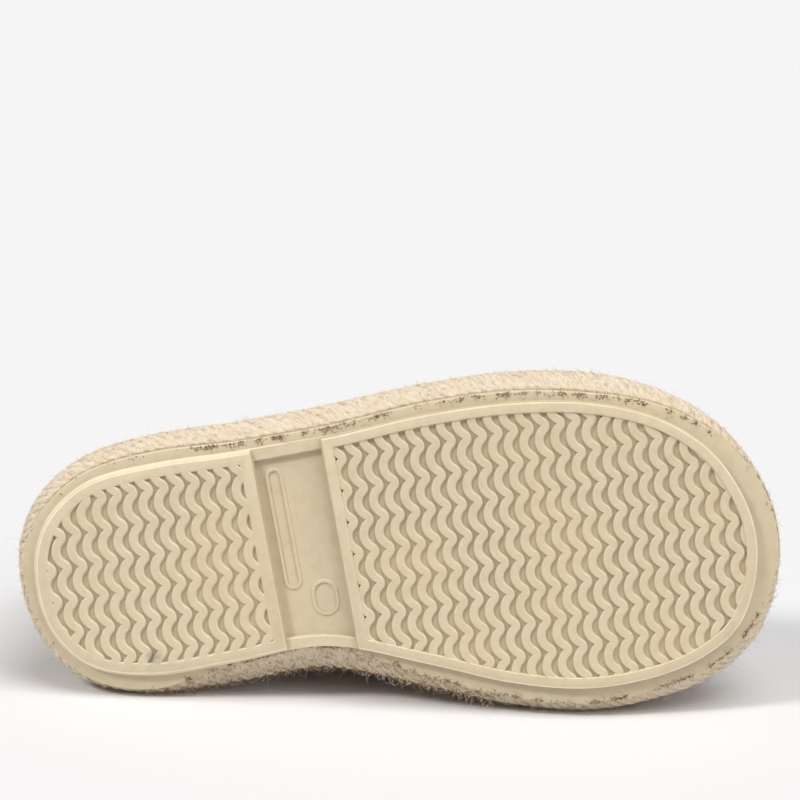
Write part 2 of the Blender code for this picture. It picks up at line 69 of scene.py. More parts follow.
# Sole, as in the solids
SOLE_LENGTH = 150.0
FLANGE_BOTTOM = 1.8
FLANGE_TOP = 4.4
JUTE_BOTTOM = 4.7
JUTE_TOP = 17.2
SPRING_START = 102.0
SPRING_RAMP = 16.0
SPRING_SLOPE = math.tan(math.radians(11.0))
# Half widths of the jute at distances from the heel tip, and how far inside its outline the edges of the
# rubber's flange and tread plate lie
SOLE_COLUMNS = (
    "x", "lateral", "medial", "flange_lateral", "flange_medial", "plate_lateral", "plate_medial"
)
SOLE_TABLE = (
    (0.0, 0.0, 0.0, 1.05, 1.05, 4.1, 4.1),
    (4.0, 12.4, 15.4, 2.25, 1.65, 4.5, 3.7),
    (12.0, 19.5, 23.5, 2.5, 1.25, 4.8, 4.05),
    (27.0, 24.4, 26.4, 2.85, 1.2, 5.55, 4.55),
    (43.0, 26.8, 24.6, 3.3, 4.2, 5.6, 5.3),
    (60.0, 30.0, 21.8, 3.5, 4.8, 5.6, 5.5),
    (79.0, 34.2, 25.0, 3.2, 2.4, 5.4, 5.25),
    (95.0, 36.5, 28.7, 3.25, 2.1, 5.45, 5.3),
    (111.0, 36.5, 30.3, 3.5, 2.1, 5.35, 5.5),
    (126.0, 32.7, 28.3, 2.45, 2.6, 4.9, 5.5),
    (138.0, 25.4, 23.7, 1.5, 2.8, 4.8, 5.7),
    (146.0, 15.1, 16.0, 0.6, 2.7, 4.95, 5.4),
    (150.0, 0.0, 0.0, 0.7, 0.7, 5.1, 5.1),
)
COARSE_POINTS = 32  # points along each side of the solids' outlines
FINE_POINTS = 110
TREAD_BEVEL = 0.5  # bevelled edges of the solids' tread and flange

# Tread plate. Lines across the sole run along ACROSS, and are placed by their distance along ALONG.
TREAD_TURN = math.radians(10.2)
ALONG = Vector((math.cos(TREAD_TURN), -math.sin(TREAD_TURN)))
ACROSS = Vector((math.sin(TREAD_TURN), math.cos(TREAD_TURN)))
HEEL_FRONT = 48.85
RIB_BACK = 62.7
RIB_FRONT = 64.8
ARCH_RIM_Z = 1.2
ARCH_FLOOR_Z = 2.4
ARCH_RIM_WIDTH = 1.95
PANEL_DEPTH = 0.25  # how far the forefoot's ribs are set back from its rim
EDGE_SOFTNESS = 0.25  # rounding of the steps across the tread
HEEL_SLOPE_RUN = 20.0  # length over which the side wall turns upright in front of the heel pad
FRAME_HEIGHT = 0.3  # of the two raised frames on the arch's floor
SCUFF_PLACE = (26.7, 18.6, 0.0)  # dark scuff on the heel, seen from below

# Wave ribs. A rib's heel-side edge is a row of arcs that meet in cusps, and its toe-side edge lies a rib's
# width on.
RIB_STEP = Vector((3.017, -0.491))  # from one rib to the next
WAVE_STEP = Vector((1.1, 6.195))  # from one cusp to the next
ARC_RADIUS = 3.84
RIB_WIDTH = 1.7
HEEL_CUSP = Vector((21.31, -0.73))
FOREFOOT_CUSP = Vector((102.21, -7.61))
ARC_STEPS = 10
FAN_STEPS = 5
RIB_NUMBERS = range(-40, 40)  # with the next, more than enough for either pad
CUSP_NUMBERS = range(-9, 9)
WAVE_REACH = 7.0  # how far outside the plate's rim, or past a pad's ends, a cusp still matters
PAD_REACH = 6.0

# Jute plait. Levels count along the points of jute_side, from its lower edge to its top.
PLAIT_TOP = 13
PLAIT_STEPS = 4  # rings of points to a level
ROW_BORDER = 8  # the crease between the plait's two rows
ROW_MIDDLES = (6, 10)  # where the strands of each row turn back
COLUMNS_PER_STRAND = 8

# Last, as in the solids
UPPER_BOTTOM = 17.5
FEATHER_INSET = 3.6
VAMP_WALL = 1.6
QUARTER_STEP = 0.9
QUARTER_BITE = 0.5
LAST_COLUMNS = ("x", "crown_x", "crown_height", "slimness")
LAST_TABLE = (
    (0.0, 29.0, 67.0, 1.0),
    (22.0, 34.0, 67.0, 1.0),
    (42.0, 44.0, 65.0, 1.0),
    (56.0, 56.0, 58.0, 1.0),
    (68.0, 68.0, 48.5, 1.0),
    (82.0, 82.0, 40.5, 1.0),
    (98.0, 97.0, 33.0, 0.95),
    (116.0, 113.0, 27.0, 0.85),
    (132.0, 125.0, 23.5, 0.8),
    (150.0, 133.0, 21.5, 0.8),
)
CROWN_SHIFT = 0.35  # how far the crown follows the difference between the medial and the lateral side

# Lines seen from the side, as points (x, z)
TOPLINE = (
    (-10.0, 62.5),
    (4.0, 62.5),
    (14.0, 60.5),
    (26.0, 55.5),
    (38.0, 52.5),
    (49.0, 53.5),
    (57.0, 58.5),
    (63.5, 64.5),
    (66.5, 71.0),
    (67.0, 110.0),
)
QUARTER_LINE = (
    (94.0, 80.0),
    (94.5, 58.0),
    (91.5, 47.5),
    (84.0, 40.0),
    (75.5, 32.0),
    (70.0, 24.0),
    (67.0, 10.0),
)

# Throat, tongue, eyelets and lace
GAP_WIDTH_FRONT = 8.0
GAP_WIDTH_BACK = 13.0
GAP_FRONT = 97.0
GAP_BACK = 58.0
SLOT_FRONT = 84.0
TONGUE_THICKNESS = 1.8
TONGUE_ROOT = 93.0
TONGUE_TOP = 61.0
TONGUE_HALF_WIDTH = 12.5
TONGUE_ROUNDING = 0.55
TONGUE_GAP = 0.4  # between the tongue and the vamp's lining
TONGUE_SEAM = 0.86  # place of its stitches, as a share of its half width
EYELET_STATIONS = (69.5, 77.0, 84.5)
EYELET_FROM_EDGE = 4.4
EYELET_HOLE_RADIUS = 1.3
EYELET_RADIUS = 2.5
EYELET_HEIGHT = 0.8
EYELET_SHANK = 2.6  # how far the tube reaches into the facing
LACE_HALF_WIDTH = 1.18
LACE_HALF_HEIGHT = 0.85
LACE_BOW = 0.11  # how high a stretch of lace bows, as a share of its length

# Paths along the upper's edges are found in fine steps, spaced evenly and calmed
PATH_STEP = 0.8
SEAM_FROM_COLLAR = 2.2
SEAMS_FROM_QUARTER = (1.3, 2.9)
STITCH_SHARE = 0.75  # length of a stitch's thread, as a share of the step to the next
BINDING_HALF_WIDTH = 1.5
BINDING_HALF_HEIGHT = 1.15
FOLD_RADIUS = 0.5

# Twine that holds the upper to the jute
TWINE_BARS = 62
TWINE_INSET = 3.1  # from the jute's edge
TWINE_SINK = 0.9  # under the jute's top
TWINE_REACH = 3.6  # above the upper's lower edge
QUARTER_FOOT = 70.0  # place along the sole where the quarters end
BAR_RADIUS = 0.36
RUN_RADIUS = 0.34

# How the shoe lies: the direction from its middle to the floor, in the standing shoe's own axes
TO_FLOOR = Vector((-0.0468, 0.991, 0.1256)).normalized()

# Loose fibres. Places go round the rim as shares of its length, and levels up the jute's side.
FibreKind = namedtuple("FibreKind", "name per_hair places levels proud length curl steps radius finish")
FIBRE_KINDS = (
    FibreKind("jute_nap", 4.0, (0.0, 1.0), (2.3, 12.0, 4.5), (0.1, 0.5), 0.5, 0.2, 2, 0.038, "straw_fibre"),
    FibreKind("jute_waist_nap", 0.5, (0.7, 0.89), (2.6, 7.0), (0.3, 1.1), 0.8, 0.35, 3, 0.05, "tan_fibre"),
    FibreKind("jute_hairs", 0.25, (0.0, 1.0), (2.5, 11.0), (0.3, 0.9), 1.0, 0.35, 4, 0.028, "straw_fibre"),
)
FIBRE_COLOURS = {
    "straw_fibre": ((0.93, 0.84, 0.68, 1), (0.68, 0.48, 0.3, 1)),
    "tan_fibre": ((0.98, 0.84, 0.64, 1), (0.5, 0.3, 0.16, 1)),
    "pale_fibre": ((0.93, 0.89, 0.8, 1), (0.8, 0.7, 0.54, 1)),
    "dark_scrap": ((0.18, 0.115, 0.06, 1), (0.4, 0.3, 0.18, 1)),
    "tan_scrap": ((0.5, 0.34, 0.2, 1), (0.72, 0.55, 0.38, 1)),
}
LONGEST_FIBRE = 6.0
LOOPS = 70
LOOP_RADIUS = 0.045
SCRAP_CLUSTERS = 230
SCRAP_RADIUS = 0.08
SCRAP_FIBRE_RADIUS = 0.05
SCRAPS_FROM = 33.0  # outside this stretch of the ledge they are few
SCRAPS_TO = {"lateral": 139.0, "medial": 148.0}

# Stage, with the camera's turns in degrees
FLOOR_SIZE = 9.0
FLOOR_CENTRE = (0.0, 2.5, 0.0)
FLOOR_COLOURS = ((0.755, 0.747, 0.752, 1), (0.775, 0.767, 0.772, 1))
SUNS = (  # name, where it shines from, power, spread in degrees
    ("sun_key", (-1.0, -0.75, 1.0), 1.72, 12.0),
    ("sun_fill", (1.0, -0.5, 0.7), 0.95, 60.0),
    ("sun_top", (0.25, -0.3, 1.0), 1.75, 45.0),
)
ROOM_COLOUR = (1.0, 0.985, 0.985, 1)
ROOM_POWER = 0.2
CAMERA_AZIMUTH = 0.59
CAMERA_ELEVATION = 14.16
CAMERA_ROLL = 2.76
CAMERA_AIM = Vector((0.0, 0.0, 0.033))
CAMERA_LENS = 150.0
CAMERA_SHIFT = (-0.0036, 0.129)


# Sizes and colours


class ShoeSizes(bpy.types.PropertyGroup):
    groove_depth: bpy.props.FloatProperty(
        name="Groove depth",
        description="Depth of the grooves between the tread's wave ribs",
        default=0.0006, min=0.0004, max=0.002, precision=4, unit="LENGTH",
    )
    rim_width: bpy.props.FloatProperty(
        name="Tread rim",
        description="Width of the plain rim round the wave ribs",
        default=0.0021, min=0.001, max=0.005, precision=4, unit="LENGTH",
    )
    groove_draft: bpy.props.FloatProperty(
        name="Groove draft",
        description="How far each wall of a groove leans in at its bottom",
        default=0.00022, min=0.00005, max=0.0004, precision=5, unit="LENGTH",
    )
    plait_strands: bpy.props.IntProperty(
        name="Plait strands",
        description="Slanting strands of the jute plait round the sole",
        default=160, min=80, max=240,
    )
    plait_relief: bpy.props.FloatProperty(
        name="Plait relief",
        description="How deep the creases between the strands are",
        default=0.00042, min=0.0001, max=0.0008, precision=5, unit="LENGTH",
    )
    hairs: bpy.props.IntProperty(
        name="Jute hairs",
        description="Loose fibres that stand out of the jute",
        default=2400, min=0, max=6000,
    )
    thread_radius: bpy.props.FloatProperty(
        name="Thread radius",
        description="Radius of the sewing thread",
        default=0.0002, min=0.0001, max=0.0005, precision=5, unit="LENGTH",
    )
    stitch_length: bpy.props.FloatProperty(
        name="Stitch length",
        description="Distance from one stitch to the next",
        default=0.0025, min=0.0015, max=0.004, precision=4, unit="LENGTH",
    )
    view_distance: bpy.props.FloatProperty(
        name="Camera distance",
        description="Distance of the camera from the shoe",
        default=0.679, min=0.3, max=2.0, precision=3, unit="LENGTH",
    )


class ShoeColours(bpy.types.PropertyGroup):
    rubber: bpy.props.FloatVectorProperty(
        name="Rubber",
        description="Moulded rubber of the tread",
        default=(0.61, 0.525, 0.363, 1), size=4, min=0, max=1, subtype="COLOR",
    )
    # Painted shade, with some dirt, on the floors of the grooves
    groove_shade_and_dirt: bpy.props.FloatVectorProperty(
        name="Groove",
        description="Rubber at the bottom of the grooves",
        default=(0.465, 0.4, 0.258, 1), size=4, min=0, max=1, subtype="COLOR",
    )
    # Painted highlight, with some wear, on the tread's edges and sloping wall
    rubber_highlight_and_wear: bpy.props.FloatVectorProperty(
        name="Worn edges",
        description="Rubber where it's rubbed pale",
        default=(0.79, 0.695, 0.51, 1), size=4, min=0, max=1, subtype="COLOR",
    )
    jute: bpy.props.FloatVectorProperty(
        name="Jute",
        description="Light fibres of the jute",
        default=(0.8, 0.695, 0.53, 1), size=4, min=0, max=1, subtype="COLOR",
    )
    jute_dark: bpy.props.FloatVectorProperty(
        name="Jute, dark",
        description="Dark fibres of the jute",
        default=(0.58, 0.39, 0.225, 1), size=4, min=0, max=1, subtype="COLOR",
    )
    linen: bpy.props.FloatVectorProperty(
        name="Linen",
        description="Canvas of the upper",
        default=(0.56, 0.47, 0.34, 1), size=4, min=0, max=1, subtype="COLOR",
    )
    lining: bpy.props.FloatVectorProperty(
        name="Lining",
        description="Cotton inside the shoe",
        default=(0.74, 0.68, 0.56, 1), size=4, min=0, max=1, subtype="COLOR",
    )
    lace: bpy.props.FloatVectorProperty(
        name="Lace",
        description="Cotton of the lace",
        default=(0.72, 0.65, 0.52, 1), size=4, min=0, max=1, subtype="COLOR",
    )
    brass: bpy.props.FloatVectorProperty(
        name="Eyelets",
        description="Metal of the eyelets",
        default=(0.62, 0.47, 0.26, 1), size=4, min=0, max=1, subtype="COLOR",
    )


def sizes():
    return bpy.context.scene.shoe_sizes


def colours():
    return bpy.context.scene.shoe_colours


# Outlines of the sole


def through(knots, values, at):
    """The value at `at` on a smooth curve through the knots."""
    last = len(knots) - 1
    at = min(max(at, knots[0]), knots[-1])
    i = next(k for k in range(last) if at <= knots[k + 1])
    steps = [(values[k + 1] - values[k]) / (knots[k + 1] - knots[k]) for k in range(last)]

    def slope(k):
        if k in (0, last):
            return steps[min(k, last - 1)]
        before, after = knots[k] - knots[k - 1], knots[k + 1] - knots[k]
        return (steps[k - 1] * after + steps[k] * before) / (before + after)

    width = knots[i + 1] - knots[i]
    s = (at - knots[i]) / width
    return (
        values[i] * (1 + 2 * s) * (1 - s) ** 2
        + slope(i) * width * s * (1 - s) ** 2
        + values[i + 1] * s * s * (3 - 2 * s)
        + slope(i + 1) * width * s * s * (s - 1)
    )


def column(table, columns, name):
    return [row[columns.index(name)] for row in table]


def clamp(value):
    """The value held between 0 and 1."""
    return min(1.0, max(0.0, value))


def turn_of(x):
    """Angle from 0 at the heel tip to pi at the toe tip."""
    return math.acos(min(1.0, max(-1.0, 1.0 - 2.0 * x / SOLE_LENGTH)))


SOLE_TURNS = [turn_of(x) for x in column(SOLE_TABLE, SOLE_COLUMNS, "x")]
SOLE_VALUES = {name: column(SOLE_TABLE, SOLE_COLUMNS, name) for name in SOLE_COLUMNS}
LAST_VALUES = {name: column(LAST_TABLE, LAST_COLUMNS, name) for name in LAST_COLUMNS}


@lru_cache(maxsize=None)
def sole_value(name, turn):
    return through(SOLE_TURNS, SOLE_VALUES[name], turn)


def jute_edge(turn, side):
    """Point of the jute's outline, with side -1 lateral and +1 medial."""
    half = sole_value("medial" if side > 0 else "lateral", turn)
    return Vector((SOLE_LENGTH / 2 * (1 - math.cos(turn)), side * half, 0.0))


def inwards(turn, side):
    """Direction square to the outline, into the sole."""
    small = 0.01
    if turn < small:
        return Vector((1.0, 0.0, 0.0))
    if turn > math.pi - small:
        return Vector((-1.0, 0.0, 0.0))
    along = jute_edge(turn + small / 2, side) - jute_edge(turn - small / 2, side)
    return Vector((along.y, -along.x, 0.0)).normalized() * side


def inner_edge(turn, side, inset):
    return jute_edge(turn, side) + inwards(turn, side) * inset


def around(points):
    """(turn, side) round an outline: from the heel tip along the lateral side, back along the medial side."""
    for k in range(2 * points):
        yield math.pi * (k if k <= points else 2 * points - k) / points, -1 if k < points else 1


def outline(inset, points=FINE_POINTS, lean=0.0):
    """Closed ring of points. inset is a number, or the name of a pair of columns with a number to add.
    lean adds a share of the heel pad's sloping wall."""
    ring = []
    for turn, side in around(points):
        depth = inset
        if isinstance(inset, tuple):
            name, extra = inset
            depth = sole_value(f"{name}_{'medial' if side > 0 else 'lateral'}", turn) + extra
        if lean:
            past = clamp((jute_edge(turn, side).x - HEEL_FRONT) / HEEL_SLOPE_RUN)
            depth -= lean * (0.55 - 0.5 * past)
        ring.append(inner_edge(turn, side, depth))
    return ring


def toe_spring(x):
    """How far the sole lifts at this distance from the heel tip."""
    past = x - SPRING_START
    if past <= 0:
        return 0.0
    if past < SPRING_RAMP:
        return SPRING_SLOPE * past * past / (2 * SPRING_RAMP)
    return SPRING_SLOPE * (past - SPRING_RAMP / 2)


# The last, and lines on it


@lru_cache(maxsize=None)
def last_value(name, x):
    return through(LAST_VALUES["x"], LAST_VALUES[name], x)


@lru_cache(maxsize=None)
def crown_y(x):
    turn = turn_of(x)
    return CROWN_SHIFT * (sole_value("medial", turn) - sole_value("lateral", turn))


@lru_cache(maxsize=None)
def wall_foot(turn, side):
    """Foot of the wall over this place of the outline, its crown and its slimness."""
    foot = inner_edge(turn, side, FEATHER_INSET)
    station = jute_edge(turn, side).x
    crown_x = last_value("crown_x", station)
    crown = Vector((crown_x, crown_y(crown_x), last_value("crown_height", station)))
    return foot, crown, last_value("slimness", station)


def last_point(turn, side, rise):
    """Point of the last's surface, with rise 0 at the feather line and 1 at the crown."""
    foot, crown, slimness = wall_foot(turn, side)
    angle = rise * math.pi / 2
    keep = math.cos(angle) ** slimness if rise < 1 else 0.0
    x = crown.x + (foot.x - crown.x) * keep
    y = crown.y + (foot.y - crown.y) * keep
    return Vector((x, y, UPPER_BOTTOM + crown.z * math.sin(angle) + toe_spring(x)))


def last_normal(turn, side, rise):
    small = 0.01
    along = last_point(turn + small, side, rise) - last_point(turn - small, side, rise)
    up = last_point(turn, side, rise + small) - last_point(turn, side, rise - small)
    return (along.cross(up) * -side).normalized()


def on_last(turn, side, rise):
    return last_point(turn, side, rise), last_normal(turn, side, rise)


def rise_where(turn, side, passed):
    """Lowest rise at which passed(point) turns true, or 1."""
    low, high = 0.0, 1.0
    if not passed(last_point(turn, side, high)):
        return 1.0
    for _ in range(26):  # each round halves the stretch
        middle = (low + high) / 2
        if passed(last_point(turn, side, middle)):
            high = middle
        else:
            low = middle
    return high


def gap_half(x):
    """Half the width of the throat at x."""
    spread = (GAP_WIDTH_BACK - GAP_WIDTH_FRONT) * (GAP_FRONT - x) / (GAP_FRONT - GAP_BACK)
    return (GAP_WIDTH_FRONT + spread) / 2


def gap_middle(front=GAP_FRONT):
    """The throat's middle line, as a place across the shoe."""
    return crown_y((front + GAP_BACK) / 2)


def smooth_line(points, steps=5):
    """Points of a smooth flat line through a few."""
    knots = list(range(len(points)))
    ats = [k / steps for k in range((len(points) - 1) * steps + 1)]
    return [tuple(through(knots, [p[axis] for p in points], at) for axis in (0, 1)) for at in ats]


def throat_outline(front):
    """The gap of the throat from above, with a round front end."""
    radius = GAP_WIDTH_FRONT / 2
    middle = gap_middle(front)
    centre = front - radius
    turns = [math.pi / 2 - math.pi * k / 16 for k in range(17)]
    bow = [(centre + radius * math.cos(a), middle + radius * math.sin(a)) for a in turns]
    half = GAP_WIDTH_BACK / 2
    return [(GAP_BACK, middle + half)] + bow + [(GAP_BACK, middle - half)]


def on_line(line, at):
    """Second value of a line of pairs where the first, which only grows, is `at`."""
    for (a0, b0), (a1, b1) in zip(line, line[1:]):
        if at <= a1:
            return b0 + (b1 - b0) * (at - a0) / (a1 - a0)
    return line[-1][1]


@lru_cache(maxsize=None)
def topline():
    return smooth_line(TOPLINE)


def topline_height(x):
    return on_line(topline(), x)


def spaced(places, step):
    """The same path in equal steps. places are (point, normal)."""
    lengths = [0.0]
    for (a, _), (b, _) in zip(places, places[1:]):
        lengths.append(lengths[-1] + (b - a).length)
    count = max(1, round(lengths[-1] / step))
    result, k = [], 0
    for number in range(count + 1):
        at = lengths[-1] * number / count
        while k < len(lengths) - 2 and lengths[k + 1] < at:
            k += 1
        share = (at - lengths[k]) / max(1e-9, lengths[k + 1] - lengths[k])
        (a, na), (b, nb) = places[k], places[k + 1]
        result.append((a.lerp(b, share), na.lerp(nb, share).normalized()))
    return result


def calmed(places, rounds):
    """The path with its corners rounded by averaging neighbours."""
    for _ in range(rounds):
        inner = [
            ((a[0] + b[0] * 2 + c[0]) / 4, (a[1] + b[1] * 2 + c[1]).normalized())
            for a, b, c in zip(places, places[1:], places[2:])
        ]
        places = [places[0]] + inner + [places[-1]]
    return places


def shifted(places, sideways, proud=0.0):
    """The path moved sideways along the surface, to the right seen along it from outside, and out of it."""
    result = []
    for k, (point, normal) in enumerate(places):
        along = places[min(k + 1, len(places) - 1)][0] - places[max(k - 1, 0)][0]
        aside = along.cross(normal).normalized()
        result.append((point + aside * sideways + normal * proud, normal))
    return result


@lru_cache(maxsize=None)
def facing_edge(side):
    """Edge of the throat from near its front end up to the topline."""
    middle = gap_middle()
    radius = GAP_WIDTH_FRONT / 2
    start, end, step = GAP_FRONT - 2.6, 62.0, 0.6
    places = []
    x = start
    while x > end:
        half = gap_half(x)
        if x >= GAP_FRONT - radius:
            half = math.sqrt(max(0.0, radius**2 - (x - GAP_FRONT + radius) ** 2))
        turn = turn_of(x)
        rise = rise_where(turn, side, lambda p: abs(p.y - middle) < half)
        point, normal = on_last(turn, side, rise)
        if point.z > topline_height(point.x):
            break
        places.append((point, normal))
        x -= step
    return places


@lru_cache(maxsize=None)
def topline_edge(side):
    """Edge of the collar from the throat back to the heel tip."""
    middle = gap_middle()
    start, step, fine, coarse = 66.4, 0.15, 43, 70
    turns = [turn_of(start - step * k) for k in range(fine)]
    turns += [turns[-1] * (1 - k / coarse) for k in range(1, coarse)]
    places = []
    for turn in turns:
        rise = rise_where(turn, side, lambda p: p.z > topline_height(p.x))
        point, normal = on_last(turn, side, rise)
        if rise < 0.999 and (point.x < GAP_BACK or abs(point.y - middle) >= gap_half(point.x)):
            places.append((point, normal))
    return places


@lru_cache(maxsize=None)
def collar_path():
    """Along the lateral facing, round the collar and down the medial facing."""
    half = {side: facing_edge(side) + topline_edge(side) for side in (-1, 1)}
    return half[-1] + half[1][::-1]


@lru_cache(maxsize=None)
def quarter_edge(side):
    """Front edge of the quarter, from the feather line up to the throat."""
    middle = gap_middle()
    upright = sorted((z, x) for x, z in smooth_line(QUARTER_LINE))
    start, end, step = UPPER_BOTTOM + 0.4, 56.0, 0.3
    places = []
    z = start
    while z < end:
        x = on_line(upright, z)
        station = x
        for _ in range(8):  # each round brings the wall's point closer to x
            turn = turn_of(station)
            rise = rise_where(turn, side, lambda p: p.z > z)
            station += x - last_point(turn, side, rise).x
        point, normal = on_last(turn, side, rise)
        if rise > 0.999 or abs(point.y - middle) < gap_half(point.x):
            break
        places.append((point, normal))
        z += step
    return places


@lru_cache(maxsize=None)
def eyelet_places():
    """(side, point, normal) of each eyelet, on the outside of the facings, from the top row down."""
    places = []
    for station in EYELET_STATIONS:
        turn = turn_of(station)
        reach = gap_half(station) + EYELET_FROM_EDGE
        for side in (-1, 1):
            rise = rise_where(turn, side, lambda p: abs(p.y - crown_y(station)) < reach)
            point, normal = on_last(turn, side, rise)
            places.append((side, point + normal * QUARTER_STEP, normal))
    return places


# Mesh work


def pick(*objects):
    """Selects these objects alone."""
    bpy.ops.object.select_all(action="DESELECT")
    for obj in objects:
        obj.select_set(True)
    if objects:
        bpy.context.view_layer.objects.active = objects[0]


@contextmanager
def editing(obj):
    """Edit mode with all of the mesh selected."""
    pick(obj)
    bpy.ops.object.mode_set(mode="EDIT")
    bpy.ops.mesh.select_all(action="SELECT")
    yield
    bpy.ops.object.mode_set(mode="OBJECT")


def sheet(name, rows, closed=False, capped=False, cloth=None):
    """A grid set to rows of points. A closed one meets itself along its first column, and a capped one has
    its ends filled. cloth holds rows of (u, v) in millimetres, one for each point, and for a closed sheet
    one more."""
    if closed:
        rows = [list(row) + [row[0]] for row in rows]
    pick()
    bpy.ops.mesh.primitive_grid_add(x_subdivisions=len(rows[0]) - 1, y_subdivisions=len(rows) - 1, size=1)
    obj = bpy.context.object
    obj.name = obj.data.name = name
    mesh = obj.data
    mesh.vertices.foreach_set("co", [c for row in rows for p in row for c in p])
    mesh.uv_layers[0].name = "cloth"
    if cloth:
        flat = [spot for row in cloth for spot in row]
        corners = mesh.uv_layers[0].data
        for loop in mesh.loops:
            corners[loop.index].uv = flat[loop.vertex_index]
    if closed or capped:
        with editing(obj):
            bpy.ops.mesh.remove_doubles(threshold=0.0005)
            if capped:
                bpy.ops.mesh.select_all(action="DESELECT")
                bpy.ops.mesh.select_non_manifold(
                    extend=False,
                    use_wire=False,
                    use_boundary=True,
                    use_multi_face=False,
                    use_non_contiguous=False,
                    use_verts=False,
                )
                bpy.ops.mesh.fill_holes(sides=0)
                bpy.ops.mesh.select_all(action="SELECT")
                bpy.ops.mesh.normals_make_consistent(inside=False)
    return obj


def stacked(name, levels):
    """A closed solid through rings of equal length, each (ring, z)."""
    return sheet(name, [[(p[0], p[1], z) for p in ring] for ring, z in levels], closed=True, capped=True)


def apply(obj, kind, **settings):
    """Adds a modifier and applies it."""
    pick(obj)
    bpy.ops.object.modifier_add(type=kind)
    modifier = obj.modifiers[-1]
    for name, value in settings.items():
        setattr(modifier, name, value)
    bpy.ops.object.modifier_apply(modifier=modifier.name)


def carve(obj, cutter, operation="DIFFERENCE"):
    """Cuts, joins or clips with another mesh, which is used up. Both are closed."""
    apply(obj, "BOOLEAN", operation=operation, solver="MANIFOLD", object=cutter)
    bpy.data.objects.remove(cutter)


def join(name, pieces):
    pick(*pieces)
    bpy.ops.object.join()
    obj = bpy.context.object
    obj.name = obj.data.name = name
    return obj


def ring_round(point, along, reference, wide, high, sides):
    """Points of an oval round a path, with its wide axis square to the reference direction."""
    side = along.cross(reference).normalized()
    up = side.cross(along).normalized()
    angles = [2 * math.pi * k / sides for k in range(sides)]
    return [point + side * wide * math.cos(a) + up * high * math.sin(a) for a in angles]


def cord(name, places, wide, high=None, sides=8, swell=None):
    """A cord along a path of (point, reference direction). Its cloth map has u along it and v round it."""
    high = high or wide
    girth = math.pi * (wide + high)
    last = len(places) - 1
    rows, cloth, length = [], [], 0.0
    for k, (point, reference) in enumerate(places):
        along = places[min(k + 1, last)][0] - places[max(k - 1, 0)][0]
        if k:
            length += (point - places[k - 1][0]).length
        size = swell(k) if swell else 1.0
        rows.append(ring_round(point, along.normalized(), reference, wide * size, high * size, sides))
        cloth.append([(length, girth * j / sides) for j in range(sides + 1)])
    return sheet(name, rows, closed=True, capped=True, cloth=cloth)


def flat_map(obj, name=None):
    """Lays a UV map of the piece's own x and y, in millimetres. With a name it's a new map."""
    mesh = obj.data
    flat = mesh.uv_layers.new(name=name) if name else mesh.uv_layers[0]
    for loop in mesh.loops:
        flat.data[loop.index].uv = mesh.vertices[loop.vertex_index].co.xy


def lifted(point):
    """The point moved up with the toe's spring."""
    return Vector((point.x, point.y, point.z + toe_spring(point.x)))


def lift_toe(obj):
    for vertex in obj.data.vertices:
        vertex.co.z += toe_spring(vertex.co.x)


@lru_cache(maxsize=None)
def lying():
    """Matrix that lays the standing shoe down where its solids lie."""
    up = -TO_FLOOR
    ahead = (Vector((1, 0, 0)) - up * up.x).normalized()
    turn = Matrix((ahead, up.cross(ahead), up)).to_4x4()
    edges = (
        (("plate", TREAD_BEVEL), 0.0),
        (("plate", 0.0), TREAD_BEVEL),
        (("flange", TREAD_BEVEL), FLANGE_BOTTOM),
        (("flange", 0.0), FLANGE_TOP),
    )
    corners = []
    for inset, z in edges:
        for p in outline(inset, COARSE_POINTS):
            corners.append(turn @ Vector((p.x, p.y, z + toe_spring(p.x))))
    low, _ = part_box("outsole")
    shift = low - Vector([min(c[axis] for c in corners) for axis in range(3)]) * MM
    return Matrix.Translation(shift) @ turn @ Matrix.Scale(MM, 4)


def dress(obj, materials, nodes=(), smooth=60.0, body="root"):
    """Lays a finished piece down, gives it its materials and its body, and hides the solids it stands for."""
    obj.data.transform(lying())
    obj.data.materials.clear()
    for material in materials:
        obj.data.materials.append(material)
    pick(obj)
    bpy.ops.object.shade_smooth_by_angle(angle=math.radians(smooth))
    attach(obj, body)
    if nodes:
        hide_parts(*nodes)
    return obj


# Materials


def place(tree, kind, inputs=None, **settings):
    """A node with its settings. An input that is given a socket is linked to it, and any other is set."""
    node = tree.nodes.new(kind)
    for name, value in settings.items():
        setattr(node, name, value)
    for key, value in (inputs or {}).items():
        if isinstance(value, bpy.types.NodeSocket):
            tree.links.new(value, node.inputs[key])
        else:
            node.inputs[key].default_value = value
    return node


def new_material(name, **settings):
    """A material with a node tree, its shader, and constant values on the shader's own sockets."""
    material = bpy.data.materials.new(name)
    material.use_nodes = True
    tree = material.node_tree
    shader = tree.nodes["Principled BSDF"]
    for key, value in settings.items():
        shader.inputs[key.replace("_", " ")].default_value = value
    return material, tree, shader


def maths(tree, operation, a, b=0.0):
    return place(tree, "ShaderNodeMath", {0: a, 1: b}, operation=operation).outputs[0]


def plus(tree, a, b):
    return maths(tree, "ADD", a, b)


def times(tree, a, b):
    return maths(tree, "MULTIPLY", a, b)


def blend(tree, factor, a, b, mode="MIX"):
    return place(tree, "ShaderNodeMix", {0: factor, 6: a, 7: b}, data_type="RGBA", blend_type=mode).outputs[2]


def paint(tree, base, mask, colour, strength=None):
    """The base with a colour laid over it where the mask is high."""
    if strength is not None:
        mask = times(tree, mask, strength)
    return blend(tree, mask, base, colour)


def ramp(tree, value, low, high, smooth=True):
    """0 where the value is low, 1 where it's high, and a rise between them."""
    kind = "SMOOTHSTEP" if smooth else "LINEAR"
    inputs = {"Value": value, "From Min": low, "From Max": high}
    return place(tree, "ShaderNodeMapRange", inputs, interpolation_type=kind).outputs[0]


